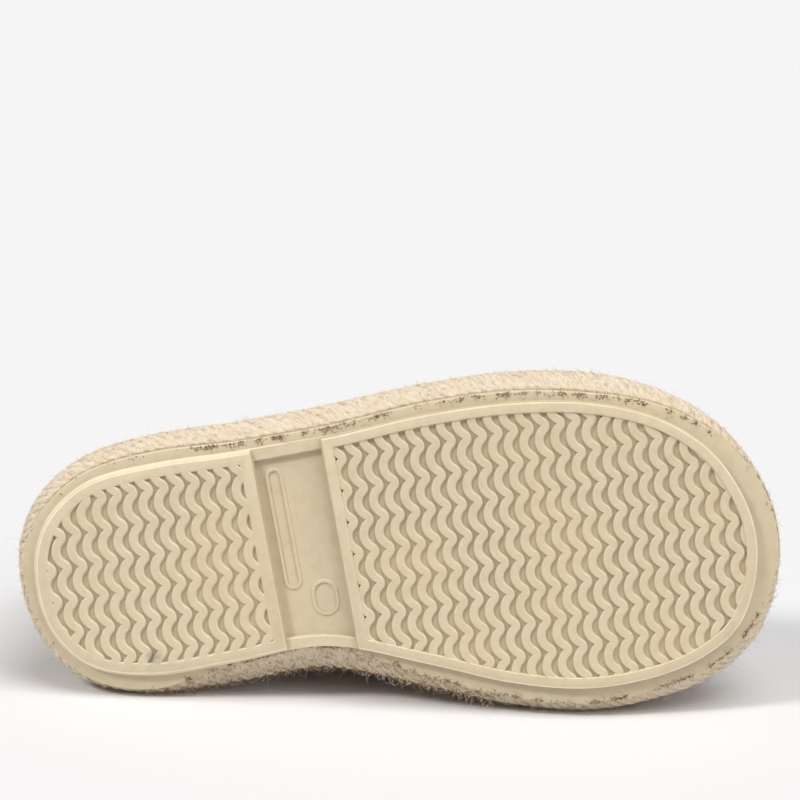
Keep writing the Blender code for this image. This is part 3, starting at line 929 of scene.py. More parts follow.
def grain(tree, where, scale, detail=2.0, roughness=0.5, stretch=None, distortion=0.0):
    """Noise between 0 and 1 at a place, with its coordinates stretched first."""
    if stretch:
        where = place(tree, "ShaderNodeMapping", {"Vector": where, "Scale": stretch}).outputs[0]
    inputs = {"Scale": scale, "Detail": detail, "Roughness": roughness, "Distortion": distortion}
    return place(tree, "ShaderNodeTexNoise", {"Vector": where, **inputs}).outputs["Fac"]


def named_value(tree, name):
    """A number that the mesh holds for each point or face."""
    return place(tree, "ShaderNodeAttribute", attribute_name=name).outputs["Fac"]


def bumps(tree, shader, layers):
    """Stacks bump layers, each (height, distance in metres, strength)."""
    normal = None
    for height, distance, strength in layers:
        inputs = {"Height": height, "Distance": distance, "Strength": strength}
        if normal:
            inputs["Normal"] = normal
        normal = place(tree, "ShaderNodeBump", inputs).outputs[0]
    tree.links.new(normal, shader.inputs["Normal"])


def object_place(tree):
    return place(tree, "ShaderNodeTexCoord").outputs["Object"]


def cloth_place(tree, name="cloth"):
    return place(tree, "ShaderNodeUVMap", uv_map=name).outputs[0]


def shade_of(colour, factor):
    return (*(min(1.0, c * factor) for c in colour[:3]), 1.0)


@lru_cache(maxsize=None)
def rubber_finish():
    """Moulded natural rubber: warm patches, painted shade on the grooves' floors (with some dirt), the ledge
    and the arch's floor, edges painted pale as painted highlight with some wear, a fine grain, one scuff.
    """
    tint = colours()
    rubber = tuple(tint.rubber)
    material, tree, shader = new_material("moulded_rubber", Roughness=0.5, Specular_IOR_Level=0.35)
    where = object_place(tree)
    depth = named_value(tree, "depth")
    # Painted shade on the tread's recesses, by depth: the grooves' floors, which also carry some dirt, the
    # ledge and the arch's floor. Each is where the shade sets in, where it ends, and its colour
    shades = (
        ((0.3, 0.58), (1.15, 1.0), tuple(tint.groove_shade_and_dirt)),
        ((1.5, 1.75), (2.3, 2.0), shade_of(rubber, 0.93)),
        ((2.25, 2.38), (2.6, 2.5), shade_of(rubber, 0.94)),
    )
    base = rubber
    for begin, end, shade in shades:
        band = times(tree, ramp(tree, depth, *begin), ramp(tree, depth, *end))
        base = paint(tree, base, band, shade)
    # Edges painted pale: painted highlight, with some wear on the ribs' edges
    base = paint(tree, base, named_value(tree, "edge_highlight_and_wear"), tuple(tint.rubber_highlight_and_wear))
    patches = ramp(tree, grain(tree, where, 55.0, 3.0, 0.55), 0.38, 0.66)
    warm = (rubber[0] * 1.03, rubber[1] * 0.96, rubber[2] * 0.93, 1.0)
    base = paint(tree, base, patches, warm, 0.4)
    mottle = grain(tree, where, 420.0, 4.0, 0.6)
    base = blend(tree, ramp(tree, mottle, 0.35, 0.8), base, (0.93, 0.9, 0.86, 1), mode="MULTIPLY")
    flat = cloth_place(tree, "sole")
    spot = {0: flat, 1: SCUFF_PLACE}
    away = place(tree, "ShaderNodeVectorMath", spot, operation="DISTANCE").outputs["Value"]
    torn = plus(tree, away, times(tree, grain(tree, flat, 0.9, 3.0), 3.2))
    base = paint(tree, base, ramp(tree, torn, 3.6, 2.0, smooth=False), (0.2, 0.17, 0.2, 1), 0.5)
    tree.links.new(base, shader.inputs["Base Color"])
    rough = plus(tree, times(tree, mottle, 0.2), 0.4)
    tree.links.new(rough, shader.inputs["Roughness"])
    coarse, fine = grain(tree, where, 260.0, 3.0), grain(tree, where, 2600.0, 2.0)
    bumps(tree, shader, [(coarse, 0.0001, 0.35), (fine, 0.00003, 0.35)])
    return material


@lru_cache(maxsize=None)
def jute_finish():
    """Jute fibre: streaks along each yarn, loose twist, straw and pinkish patches, dark flecks."""
    dark, pale = tuple(colours().jute_dark), tuple(colours().jute)
    sheen = {"Sheen_Weight": 0.35, "Sheen_Roughness": 0.6}
    material, tree, shader = new_material("jute_yarn", Roughness=0.92, Specular_IOR_Level=0.2, **sheen)
    turned = {"Vector": cloth_place(tree), "Rotation": (0.0, 0.0, math.radians(17.0))}
    twist = place(tree, "ShaderNodeMapping", turned).outputs[0]
    fibres = grain(tree, twist, 1.0, 5.0, 0.65, stretch=(0.35, 4.2, 1.0), distortion=0.4)
    fine = grain(tree, twist, 1.0, 3.0, 0.6, stretch=(0.7, 13.0, 1.0))
    flecks = grain(tree, twist, 1.0, 1.0, 0.5, stretch=(0.9, 2.2, 1.0))
    patches = grain(tree, object_place(tree), 130.0, 2.0)
    rosy = (pale[0] * 1.02, pale[1] * 0.85, pale[2] * 0.7, 1.0)
    base = blend(tree, ramp(tree, fibres, 0.28, 0.52), dark, pale)
    base = paint(tree, base, ramp(tree, patches, 0.45, 0.68), rosy, 0.34)
    base = paint(tree, base, ramp(tree, fine, 0.62, 0.8), shade_of(pale, 1.22))
    base = paint(tree, base, ramp(tree, flecks, 0.7, 0.76), shade_of(dark, 0.5), 0.7)
    tree.links.new(base, shader.inputs["Base Color"])
    bumps(tree, shader, [(fibres, 0.0003, 0.9), (fine, 0.00014, 0.7)])
    return material


@lru_cache(maxsize=None)
def hair_finish(name):
    """Single fibres, between two colours by place."""
    light, dark = FIBRE_COLOURS[name]
    material, tree, shader = new_material(name, Roughness=0.75, Specular_IOR_Level=0.3)
    place_by_place = grain(tree, object_place(tree), 900.0, 0.0)
    base = blend(tree, ramp(tree, place_by_place, 0.35, 0.65), light, dark)
    tree.links.new(base, shader.inputs["Base Color"])
    return material


@lru_cache(maxsize=None)
def woven_finish(name, colour, pitch, slub=0.35, wear=0.1, diagonal=False):
    """Plain weave or twill, with its pitch in millimetres of the cloth map: uneven and worn in patches."""
    sheen = {"Sheen_Weight": 0.25, "Sheen_Roughness": 0.5}
    material, tree, shader = new_material(name, Roughness=0.88, Specular_IOR_Level=0.25, **sheen)
    cloth = cloth_place(tree)
    parts = place(tree, "ShaderNodeSeparateXYZ", {0: cloth})
    u, v = parts.outputs[0], parts.outputs[1]
    if diagonal:
        u, v = plus(tree, u, v), maths(tree, "SUBTRACT", v, u)
    wobble = times(tree, grain(tree, cloth, 0.35, 2.0), pitch * 0.9)

    def threads(across):
        rate = math.pi / pitch
        return maths(tree, "SINE", times(tree, plus(tree, across, wobble), rate))

    crossing = times(tree, threads(u), threads(v))
    rounded = maths(tree, "POWER", maths(tree, "ABSOLUTE", crossing), 0.6)
    yarn_u = grain(tree, cloth, 1.0, 1.0, stretch=(0.12, 1.0 / pitch, 1.0))
    yarn_v = grain(tree, cloth, 1.0, 1.0, stretch=(1.0 / pitch, 0.12, 1.0))
    over = ramp(tree, crossing, -0.05, 0.05)
    uneven = place(tree, "ShaderNodeMix", {0: over, 2: yarn_u, 3: yarn_v}).outputs[0]
    fuzz = grain(tree, cloth, 6.0, 3.0)
    broad = grain(tree, object_place(tree), 26.0, 3.0)
    base = blend(tree, over, shade_of(colour, 0.94), shade_of(colour, 1.06))
    base = paint(tree, base, ramp(tree, uneven, 0.45, 0.8), shade_of(colour, 0.72), slub)
    # Painted shade in the gaps between the yarns
    base = paint(tree, base, ramp(tree, rounded, 0.5, 0.05), shade_of(colour, 0.6))
    base = paint(tree, base, ramp(tree, fuzz, 0.55, 0.75), shade_of(colour, 1.2), 0.3)
    base = paint(tree, base, ramp(tree, broad, 0.45, 0.75), shade_of(colour, 0.86), wear * 3)
    tree.links.new(base, shader.inputs["Base Color"])
    height = plus(tree, rounded, times(tree, uneven, 0.5))
    bumps(tree, shader, [(height, pitch * MM * 0.35, 0.8), (fuzz, 0.0001, 0.3)])
    return material


def canvas_finish():
    return woven_finish("linen_canvas", tuple(colours().linen), 0.42)


def lining_finish():
    return woven_finish("cotton_lining", tuple(colours().lining), 0.3, slub=0.15)


@lru_cache(maxsize=None)
def thread_finish(name, colour, pitch, braided=False):
    """Twisted thread, or a braided cord: slanting ribs by the cloth map, with fuzz between them."""
    material, tree, shader = new_material(name, Roughness=0.7, Specular_IOR_Level=0.35, Sheen_Weight=0.3)
    parts = place(tree, "ShaderNodeSeparateXYZ", {0: cloth_place(tree)})
    u, v = parts.outputs[0], parts.outputs[1]

    def slanting(operation):
        rate = math.pi / pitch
        return maths(tree, "SINE", times(tree, maths(tree, operation, u, v), rate))

    rise = slanting("ADD")
    if braided:
        crossing = times(tree, rise, slanting("SUBTRACT"))
        ribs = maths(tree, "POWER", maths(tree, "ABSOLUTE", crossing), 0.5)
    else:
        ribs = maths(tree, "ABSOLUTE", rise)
    fuzz = grain(tree, object_place(tree), 3500.0, 2.0)
    # Painted shade in the grooves between the ribs, with the ribs' tops a little lighter
    base = blend(tree, ramp(tree, ribs, 0.5, 0.05), shade_of(colour, 1.05), shade_of(colour, 0.6))
    base = paint(tree, base, ramp(tree, fuzz, 0.5, 0.7), shade_of(colour, 1.2), 0.35)
    tree.links.new(base, shader.inputs["Base Color"])
    bumps(tree, shader, [(ribs, pitch * MM * 0.5, 0.8), (fuzz, 0.00005, 0.4)])
    return material


@lru_cache(maxsize=None)
def brass_finish():
    """Rolled brass, dulled, with a fine grain."""
    material, tree, shader = new_material("aged_brass", Metallic=1.0, Roughness=0.32)
    where = object_place(tree)
    tarnish = grain(tree, where, 700.0, 4.0, 0.6)
    brass = tuple(colours().brass)
    base = blend(tree, ramp(tree, tarnish, 0.45, 0.75), brass, shade_of(brass, 0.55))
    tree.links.new(base, shader.inputs["Base Color"])
    rough = plus(tree, times(tree, tarnish, 0.35), 0.18)
    tree.links.new(rough, shader.inputs["Roughness"])
    bumps(tree, shader, [(grain(tree, where, 5000.0, 2.0), 0.00002, 0.4)])
    return material


# Outsole


def across_block(name, start, end, levels):
    """A block past both sides of the sole, between two lines across it. levels are (z, how much longer)."""
    side = 60.0
    rings = []
    for z, longer in levels:
        back, front = start - longer, end + longer
        corners = ((back, -side), (front, -side), (front, side), (back, side))
        rings.append(([ALONG * a + ACROSS * b for a, b in corners], z))
    return stacked(name, rings)


def plate_block(name, levels):
    """A block in the shape of the tread plate. levels are (z, how far inside the plate's edge)."""
    return stacked(name, [(outline(("plate", inset)), z) for z, inset in levels])


def wave_edge(depth, first, last):
    """Edge of a rib in its own axes, at a depth from its heel-side edge: arcs, and a fan round each cusp."""
    period = WAVE_STEP.length
    half = math.asin(period / 2 / ARC_RADIUS)
    centre = ARC_RADIUS * math.cos(half)
    radius = ARC_RADIUS - depth
    points = []
    for k in range(first, last):
        begin = ARC_STEPS // 2 if k == first else 0
        end = ARC_STEPS // 2 if k == last - 1 else ARC_STEPS
        for j in range(begin, end + 1):
            turn = -half + 2 * half * j / ARC_STEPS
            points.append((centre - radius * math.cos(turn), (k + 0.5) * period + radius * math.sin(turn)))
        if k < last - 1:
            for j in range(1, FAN_STEPS):
                turn = -half + 2 * half * j / FAN_STEPS
                points.append((depth * math.cos(turn), (k + 1) * period + depth * math.sin(turn)))
    return points


def groove(cusp, first, last, top):
    """One wavy groove: rings of the gap between a rib's toe side and the next rib's heel side."""
    upwards = WAVE_STEP.normalized()
    ahead = Vector((upwards.y, -upwards.x))
    draft = sizes().groove_draft / MM
    depth = sizes().groove_depth / MM
    levels = ((top + depth, -draft), (top + 0.15, 0.0), (top, 0.22), (top - 0.83, 0.25))
    rings = []
    for z, wider in levels:
        left = wave_edge(RIB_WIDTH - wider, first, last)
        right = [(u + wider, v) for u, v in wave_edge(0.05, first, last)]
        ring = [cusp + ahead * u + upwards * v for u, v in left]
        ring += [cusp + RIB_STEP + ahead * u + upwards * v for u, v in reversed(right)]
        rings.append((ring, z))
    return stacked("groove", rings)


def waves(name, cusp, start, end, top):
    """All grooves between two lines across the sole, clipped to the tread plate inside its rim."""
    rim = sizes().rim_width / MM
    draft = sizes().groove_draft / MM
    depth = sizes().groove_depth / MM
    edge = outline(("plate", rim), 60)

    def reaches(point):
        """True if a groove shows in the pad near this cusp."""
        if not start - PAD_REACH < point.dot(ALONG) < end + PAD_REACH:
            return False
        return min((point - p.xy).length for p in edge) < WAVE_REACH or inside(point, edge)

    grooves = []
    for number in RIB_NUMBERS:
        foot = cusp + RIB_STEP * number
        near = [k for k in CUSP_NUMBERS if reaches(foot + WAVE_STEP * k)]
        if near and min(near) < max(near):
            grooves.append(groove(foot, min(near) - 1, max(near) + 1, top))
    field = join(name, grooves)
    # The heights are a little off each other, so that no two faces of the cutters lie in one plane
    plate_levels = (
        (top + depth + 1.1, rim + draft * 2),
        (top + 0.137, rim),
        (top - 0.013, rim - 0.2),
        (top - 1.27, rim - 0.22),
    )
    span_levels = (
        (top + depth + 2.3, -draft * 2),
        (top + 0.143, 0.0),
        (top - 0.017, 0.2),
        (top - 2.31, 0.22),
    )
    clip = plate_block("clip", plate_levels)
    carve(clip, across_block("span", start, end, span_levels), "INTERSECT")
    carve(field, clip, "INTERSECT")
    return field


def inside(point, ring):
    """True if a flat point lies inside a ring."""
    hit = False
    for a, b in zip(ring, ring[1:] + ring[:1]):
        if (a.y > point.y) != (b.y > point.y) and point.x < a.x + (b.x - a.x) * (point.y - a.y) / (b.y - a.y):
            hit = not hit
    return hit


def highlight_and_wear_of(facing, depth):
    """How strongly a face of the tread is painted pale: as painted highlight, most on the plate's edge and
    the sloping wall, and less on the ribs' edges, where it also stands for wear.
    """
    plate_edge = 0.88 < facing < 0.95 and depth < 0.2
    sloping_wall = 0.3 < facing < 0.45 and depth > 0.8
    if plate_edge or sloping_wall:
        return 1.0
    return 0.4 if 0.55 < facing <= 0.88 else 0.0


def blank_frame(centre, length, width):
    """A thin raised frame with round ends on the arch floor, along the lines across the sole."""
    half_turn = [math.pi * j / 8 for j in range(9)]

    def stadium(grow):
        radius = width / 2 + grow
        ring = []
        for end in (1, -1):
            for a in half_turn:
                reach = (length - width) / 2 + math.sin(a) * radius
                ring.append(centre + ACROSS * (end * reach) + ALONG * (end * math.cos(a) * radius))
        return ring

    outer = ((0.1, -0.3), (0.1, 0.0), (-0.02, FRAME_HEIGHT))
    inner = ((-0.5, -1.0), (-0.55, 0.0), (-0.43, FRAME_HEIGHT + 0.5))
    frame_block, hollow = [
        stacked("arch_frame", [(stadium(grow), ARCH_FLOOR_Z - proud) for grow, proud in levels])
        for levels in (outer, inner)
    ]
    carve(frame_block, hollow)
    return frame_block


def arch_cutters():
    """The step between the two pads, and the arch's floor inside its rim."""
    soft = EDGE_SOFTNESS
    rim = ARCH_RIM_WIDTH
    step_levels = ((ARCH_RIM_Z, 0.0), (soft, 0.0), (0.0, soft), (-2.0, soft))
    floor_levels = (
        (ARCH_FLOOR_Z, rim + 0.15),
        (ARCH_RIM_Z + 0.2, rim),
        (ARCH_RIM_Z, rim - 0.2),
        (-1.0, rim - 0.2),
    )
    floor = plate_block("arch_floor", floor_levels)
    span = across_block("arch_span", HEEL_FRONT + 0.3, RIB_BACK - 0.3, ((5.0, 0.0), (-3.0, 0.0)))
    carve(floor, span, "INTERSECT")
    return across_block("arch_step", HEEL_FRONT, RIB_BACK, step_levels), floor


def panel_cutter():
    """The forefoot inside its rim, which the wave ribs stand in."""
    rim = sizes().rim_width / MM
    soft = 0.16
    plate_levels = ((PANEL_DEPTH, rim + 0.02), (soft, rim), (0.0, rim - soft), (-1.0, rim - soft))
    span_levels = ((3.0, 0.0), (soft, 0.0), (0.0, soft), (-2.0, soft))
    panel = plate_block("panel", plate_levels)
    carve(panel, across_block("panel_span", RIB_FRONT, 175.0, span_levels), "INTERSECT")
    return panel


class SHOE_OT_outsole(bpy.types.Operator):
    """Build the rubber outsole: heel pad, arch, forefoot pad, wave ribs and the flange"""

    bl_idname = "shoe.outsole"
    bl_label = "Outsole"

    def execute(self, context):
        # From the ground up: the plate's rounded edge, its sloping wall, the ledge, and the flange
        levels = [
            (outline(("plate", 0.3)), 0.0),
            (outline(("plate", 0.0), lean=0.02), 0.14),
            (outline(("plate", -0.02), lean=0.06), 0.3),
            (outline(("plate", -0.02), lean=0.95), FLANGE_BOTTOM - 0.15),
            (outline(("plate", -0.1), lean=1.0), FLANGE_BOTTOM),
            (outline(("flange", 0.45)), FLANGE_BOTTOM),
            (outline(("flange", 0.12)), FLANGE_BOTTOM + 0.14),
            (outline(("flange", 0.0)), FLANGE_BOTTOM + 0.5),
            (outline(("flange", 0.0)), FLANGE_TOP),
        ]
        tread = stacked("outsole_tread", levels)
        for cutter in (*arch_cutters(), panel_cutter()):
            carve(tread, cutter)
        carve(tread, waves("heel_waves", HEEL_CUSP, -10.0, HEEL_FRONT - 2.4, 0.0))
        carve(tread, waves("forefoot_waves", FOREFOOT_CUSP, RIB_FRONT + 0.02, 170.0, PANEL_DEPTH))
        carve(tread, blank_frame(ALONG * 52.4 + ACROSS * 2.9, 24.0, 3.2), "UNION")
        carve(tread, blank_frame(ALONG * 58.0 + ACROSS * 17.6, 7.0, 5.0), "UNION")
        bends = 6
        with editing(tread):
            for step in range(bends + 1):
                x = SPRING_START + step * SPRING_RAMP / bends
                bpy.ops.mesh.select_all(action="SELECT")
                bpy.ops.mesh.bisect(plane_co=(x, 0, 0), plane_no=(1, 0, 0))
        mesh = tread.data
        depth = mesh.attributes.new("depth", "FLOAT", "POINT")
        depth.data.foreach_set("value", [v.co.z for v in mesh.vertices])
        # Faces painted pale as painted highlight, with some wear on the ribs' edges
        worn = mesh.attributes.new("edge_highlight_and_wear", "FLOAT", "FACE")
        worn.data.foreach_set("value", [highlight_and_wear_of(-face.normal.z, face.center.z) for face in mesh.polygons])
        flat_map(tread, "sole")
        lift_toe(tread)
        dress(tread, [rubber_finish()], ["outsole"], smooth=28.0)
        return {"FINISHED"}


# Jute sole


@lru_cache(maxsize=None)
def rim_stations():
    """Once round the jute in fine steps: (length from the heel tip, point, direction outwards)."""
    stations, length = [], 0.0
    for turn, side in (*around(400), (0.0, -1)):
        point = jute_edge(turn, side)
        if stations:
            length += (point - stations[-1][1]).length
        stations.append((length, point, -inwards(turn, side)))
    return stations


def rim_length():
    return rim_stations()[-1][0]


def rim_at(share):
    """Point of the jute's outline at a share of its length, and the direction outwards."""
    stations = rim_stations()
    at = (share % 1.0) * rim_length()
    low = min(bisect_right(stations, at, key=lambda station: station[0]), len(stations) - 1) - 1
    (before, a, out_a), (after, b, out_b) = stations[low], stations[low + 1]
    part = (at - before) / max(1e-9, after - before)
    return a.lerp(b, part), out_a.lerp(out_b, part).normalized()


def along_rim(out):
    """Direction along the rim, square to the direction outwards."""
    return Vector((-out.y, out.x, 0.0))


def side_name(point):
    return "medial" if point.y > 0 else "lateral"


def ledge_edge(part, point):
    """How far the flange's or the plate's edge lies inside the jute's outline at a point of it."""
    return sole_value(f"{part}_{side_name(point)}", turn_of(point.x))


def jute_side(share):
    """The jute's side there, as points (inset, height): lip over the rubber, slope, two rows of plait."""
    point, _ = rim_at(share)
    flange = ledge_edge("flange", point)
    foot = JUTE_BOTTOM - 0.5
    shoulder = foot + 0.8 * flange
    return (
        (flange + 1.6, JUTE_BOTTOM + 0.1),
        (flange + 0.35, JUTE_BOTTOM),
        (flange + 0.16, foot + 0.3),
        (flange * 0.85, foot + 0.1),
        (flange * 0.5, foot + 0.36 * flange),
        (flange * 0.14 + 0.05, shoulder),
        (0.03, max(7.8, shoulder + 0.7)),
        (0.32, 9.9),
        (1.05, 10.95),
        (0.72, 12.0),
        (0.68, 13.9),
        (1.1, 15.8),
        (2.3, JUTE_TOP - 0.2),
        (4.6, JUTE_TOP),
    )


def on_curve(points, level):
    """Place and direction on a smooth curve through points (inset, height), at a level counted in points."""
    last = len(points) - 1
    i = min(int(level), last - 1)
    s = level - i
    a, b, c, d = (Vector(points[min(max(k, 0), last)]) for k in (i - 1, i, i + 1, i + 2))
    start, end = (c - a) / 2, (d - b) / 2
    where = b * (1 + 2 * s) * (1 - s) ** 2 + start * s * (1 - s) ** 2
    where += c * s * s * (3 - 2 * s) + end * s * s * (s - 1)
    ahead = (c - b) * 6 * s * (1 - s) + start * (1 - s) * (1 - 3 * s) + end * s * (3 * s - 2)
    return where, ahead.normalized()


def jute_at(share, level, side=None):
    """Point of the jute's side and its normal."""
    point, out = rim_at(share)
    where, ahead = on_curve(side or jute_side(share), level)
    return point - out * where.x + Vector((0, 0, where.y)), out * ahead.y + Vector((0, 0, ahead.x))


def plait_height(level, phase, point):
    """How far the plait stands out, at a level of its side and a phase of its strands."""
    relief = sizes().plait_relief / MM
    bulge = abs(math.sin(math.pi * phase)) ** 0.7
    yarns = abs(math.sin(3 * math.pi * phase))
    shown = clamp((level - 2) / 1.5) * clamp((PLAIT_TOP - 0.5 - level) / 1.5)
    shown *= 0.5 + 0.5 * clamp(abs(level - ROW_BORDER) / 0.8)
    height = relief * (bulge - 0.8) * (1 + 0.5 * noise.noise(point * 0.3)) + 0.05 * yarns * bulge
    return height * shown + 0.12 * noise.noise(point * 0.5) + 0.06 * noise.noise(point * 1.7)


class SHOE_OT_plait(bpy.types.Operator):
    """Build the jute sole: a plait of slanting strands, coiled up in two rows"""

    bl_idname = "shoe.plait"
    bl_label = "Jute plait"

    def execute(self, context):
        strands = sizes().plait_strands
        total = rim_length()
        columns = strands * COLUMNS_PER_STRAND
        levels = [k / PLAIT_STEPS for k in range(PLAIT_TOP * PLAIT_STEPS + 1)]
        rings, cloths = [[] for _ in levels], [[] for _ in levels]
        for column in range(columns + 1):
            share = column / columns
            side = jute_side(share)
            places = [jute_at(share, level, side) for level in levels]
            lengths = [0.0]
            for (a, _), (b, _) in zip(places, places[1:]):
                lengths.append(lengths[-1] + (b - a).length)
            for row, level in enumerate(levels):
                point, normal = places[row]
                fold = ROW_MIDDLES[level > ROW_BORDER]
                off = abs(lengths[row] - lengths[fold * PLAIT_STEPS])
                cloths[row].append(((share * total + off) * 0.7, (share * total - off) * 0.7))
                phase = strands * (share - off / total) + 0.3 * noise.noise(point * 0.15)
                if column < columns:
                    rings[row].append(point + normal * plait_height(level, phase, point))
        plait = sheet("jute_plait", rings, closed=True, capped=True, cloth=cloths)
        lift_toe(plait)
        dress(plait, [jute_finish()], ["midsole"], smooth=70.0)
        return {"FINISHED"}


def hair_bundle(name, paths, radius, finish):
    """Many thin fibres as one piece: three-sided threads that run out to a point, along lists of points."""
    points, faces = [], []
    for path in paths:
        base = len(points)
        last = len(path) - 1
        for number, point in enumerate(path[:-1]):
            along = (path[number + 1] - path[max(0, number - 1)]).normalized()
            side = along.orthogonal().normalized()
            other = along.cross(side)
            thick = radius * (1.0 - 0.5 * number / last)
            for j in range(3):
                a = 2 * math.pi * j / 3
                points.append(point + side * (thick * math.cos(a)) + other * (thick * math.sin(a)))
        points.append(path[-1])
        tip = len(points) - 1
        faces.append((base + 2, base + 1, base))
        for number in range(last - 1):
            low = base + number * 3
            for j in range(3):
                k = (j + 1) % 3
                faces.append((low + j, low + k, low + 3 + k, low + 3 + j))
        faces += [(tip - 3 + j, tip - 3 + (j + 1) % 3, tip) for j in range(3)]
    mesh = bpy.data.meshes.new(name)
    mesh.from_pydata(points, [], faces)
    obj = bpy.data.objects.new(name, mesh)
    bpy.context.scene.collection.objects.link(obj)
    return dress(obj, [hair_finish(finish)], smooth=180.0)


def above_floor(point):
    """The point moved up where it would lie under the floor."""
    world = lying() @ point
    lowest = 0.0002
    if world.z < lowest:
        world.z = lowest
        return lying().inverted() @ world
    return point


def stray_fibre(chance, start, direction, length, curl, steps=4):
    """A fibre that leaves along a direction and curls away."""
    path = [start]
    heading = direction.normalized()
    for _ in range(steps):
        heading = (heading + Vector([chance.gauss(0, curl) for _ in range(3)])).normalized()
        path.append(above_floor(path[-1] + heading * length / steps))
    return path


def draw(chance, limits):
    """A value between two limits, or between the first two and most often near the third."""
    return chance.uniform(*limits) if len(limits) == 2 else chance.triangular(*limits)


def loose_fibre(chance, kind):
    """One fibre of a kind, out of the jute's side."""
    share, level, proud = draw(chance, kind.places), draw(chance, kind.levels), draw(chance, kind.proud)
    length = min(LONGEST_FIBRE, kind.length + chance.expovariate(1 / kind.length))
    start, normal = jute_at(share, level)
    _, out = rim_at(share)
    along = along_rim(out) * chance.choice((-1, 1))
    direction = normal * proud + along * chance.uniform(0.2, 1.0) + Vector((0, 0, chance.gauss(-0.1, 0.6)))
    return stray_fibre(chance, lifted(start - normal * 0.1), direction, length, kind.curl, kind.steps)


def fibre_loop(chance):
    """One fibre that stands out of the jute as a loop, most often at the medial waist."""
    waist, forefoot = (0.68, 0.88), (0.52, 0.68)
    share = chance.choice([draw(chance, limits) for limits in (waist, waist, forefoot)])
    start, normal = jute_at(share, chance.uniform(4.0, 8.0))
    _, out = rim_at(share)
    along = along_rim(out) * chance.choice((-1, 1))
    wide, high = chance.uniform(0.8, 2.4), chance.uniform(0.5, 1.7)
    path = []
    for j in range(9):
        a = math.pi * j / 8
        reach = along * wide * (1 - math.cos(a)) / 2 + normal * high * math.sin(a)
        path.append(above_floor(lifted(start + reach + Vector((0, 0, 0.5 * math.sin(a * 2))))))
    return path


def ledge_scraps(chance):
    """Dark scraps and longer tan fibres in clusters on the rubber ledge, few of them round heel and toe."""
    scraps = {"dark": [], "tan": []}
    for _ in range(SCRAP_CLUSTERS):
        share = chance.random()
        for _ in range(chance.randint(4, 18)):
            point, out = rim_at(share + chance.gauss(0, 0.0016))
            side = side_name(point)
            flange, plate = ledge_edge("flange", point), ledge_edge("plate", point)
            if not SCRAPS_FROM < point.x < SCRAPS_TO[side] and chance.random() < 0.95:
                continue
            dark = chance.random() < 0.7
            away = abs(chance.gauss(0.4 if side == "lateral" else 0.15, 0.3 if dark else 0.6))
            inset = flange + min(plate - flange - 0.25, away)
            start = lifted(point - out * inset + Vector((0, 0, FLANGE_BOTTOM - 0.03)))
            heading = along_rim(out) * chance.gauss(0, 1) + out * chance.gauss(0, 0.8)
            length = chance.uniform(0.25, 0.8) * (1 if dark else 1.5)
            path = stray_fibre(chance, start, heading, length, 0.8)
            low = [Vector((p.x, p.y, start.z + (p.z - start.z) * 0.2 - 0.02)) for p in path]
            scraps["dark" if dark else "tan"].append(low)
    return scraps


class SHOE_OT_fibres(bpy.types.Operator):
    """Build the loose fibres: hairs and loops on the jute, and scraps caught on the rubber ledge"""

    bl_idname = "shoe.fibres"
    bl_label = "Loose fibres"

    def execute(self, context):
        chance = random.Random(11)
        for kind in FIBRE_KINDS:
            number = int(sizes().hairs * kind.per_hair)
            fibres = [loose_fibre(chance, kind) for _ in range(number)]
            hair_bundle(kind.name, fibres, kind.radius, kind.finish)
        hair_bundle("jute_loops", [fibre_loop(chance) for _ in range(LOOPS)], LOOP_RADIUS, "pale_fibre")
        scraps = ledge_scraps(chance)
        hair_bundle("ledge_scraps", scraps["dark"], SCRAP_RADIUS, "dark_scrap")
        hair_bundle("ledge_fibres", scraps["tan"], SCRAP_FIBRE_RADIUS, "tan_scrap")
        return {"FINISHED"}


# Upper


def ease(point):
    """Slight unevenness of the cloth over the last."""
    wave = noise.noise(point * 0.075) * 0.45 + noise.noise(point * 0.21 + Vector((9, 3, 5))) * 0.12
    inner = Vector((point.x * 0.9 + 6, crown_y(point.x), 24.0))
    return point + (point - inner).normalized() * wave


def eased(places, rounds):
    """The path moved with the cloth's unevenness, spaced evenly and calmed."""
    return calmed(spaced([(ease(point), normal) for point, normal in places], PATH_STEP), rounds)


def last_sheet(name, levels=26, points=88, panel=False):
    """The last as one open sheet. Its cloth map lies flat over the crown, or for a panel runs round it."""
    rows = [[] for _ in range(levels + 1)]
    cloth = [[] for _ in range(levels + 1)]
    length, before = 0.0, None
    stations = list(around(points))
    for number, (turn, side) in enumerate([*stations, (0.0, 1)]):
        foot, crown, _ = wall_foot(turn, side)
        if number:
            length += (foot - before).length
        before = foot
        wall = [last_point(turn, side, k / levels) for k in range(levels + 1)]
        arcs = [0.0]
        for a, b in zip(wall, wall[1:]):
            arcs.append(arcs[-1] + (b - a).length)
        away = (foot.xy - crown.xy).normalized()
        for k, point in enumerate(wall):
            if number < len(stations):
                rows[k].append(ease(point))
            flat = (length, arcs[k]) if panel else crown.xy + away * (arcs[-1] - arcs[k])
            cloth[k].append(tuple(flat))
    obj = sheet(name, rows, closed=True, cloth=cloth)
    with editing(obj):
        bpy.ops.mesh.remove_doubles(threshold=0.01)
        bpy.ops.mesh.normals_make_consistent(inside=False)
    return obj


def side_prism(name, points, half_width=60.0):
    """A flat outline in X and Z, reaching half_width to both sides."""
    rings = [[(x, y, z) for x, z in points] for y in (-half_width, half_width)]
    return sheet(name, rings, closed=True, capped=True)


def prism(name, points, bottom, top):
    return stacked(name, [(points, bottom), (points, top)])


def eyelet_drills(depth=10.0):
    """Round cutters for the six eyelet holes."""
    drills = []
    for _, point, normal in eyelet_places():
        places = [(point + normal * depth * (k - 0.5), Vector((0, 1, 0.3))) for k in (0, 0.5, 1)]
        drills.append(cord("drill", places, EYELET_HOLE_RADIUS + 0.05, sides=20))
    return join("drills", drills)


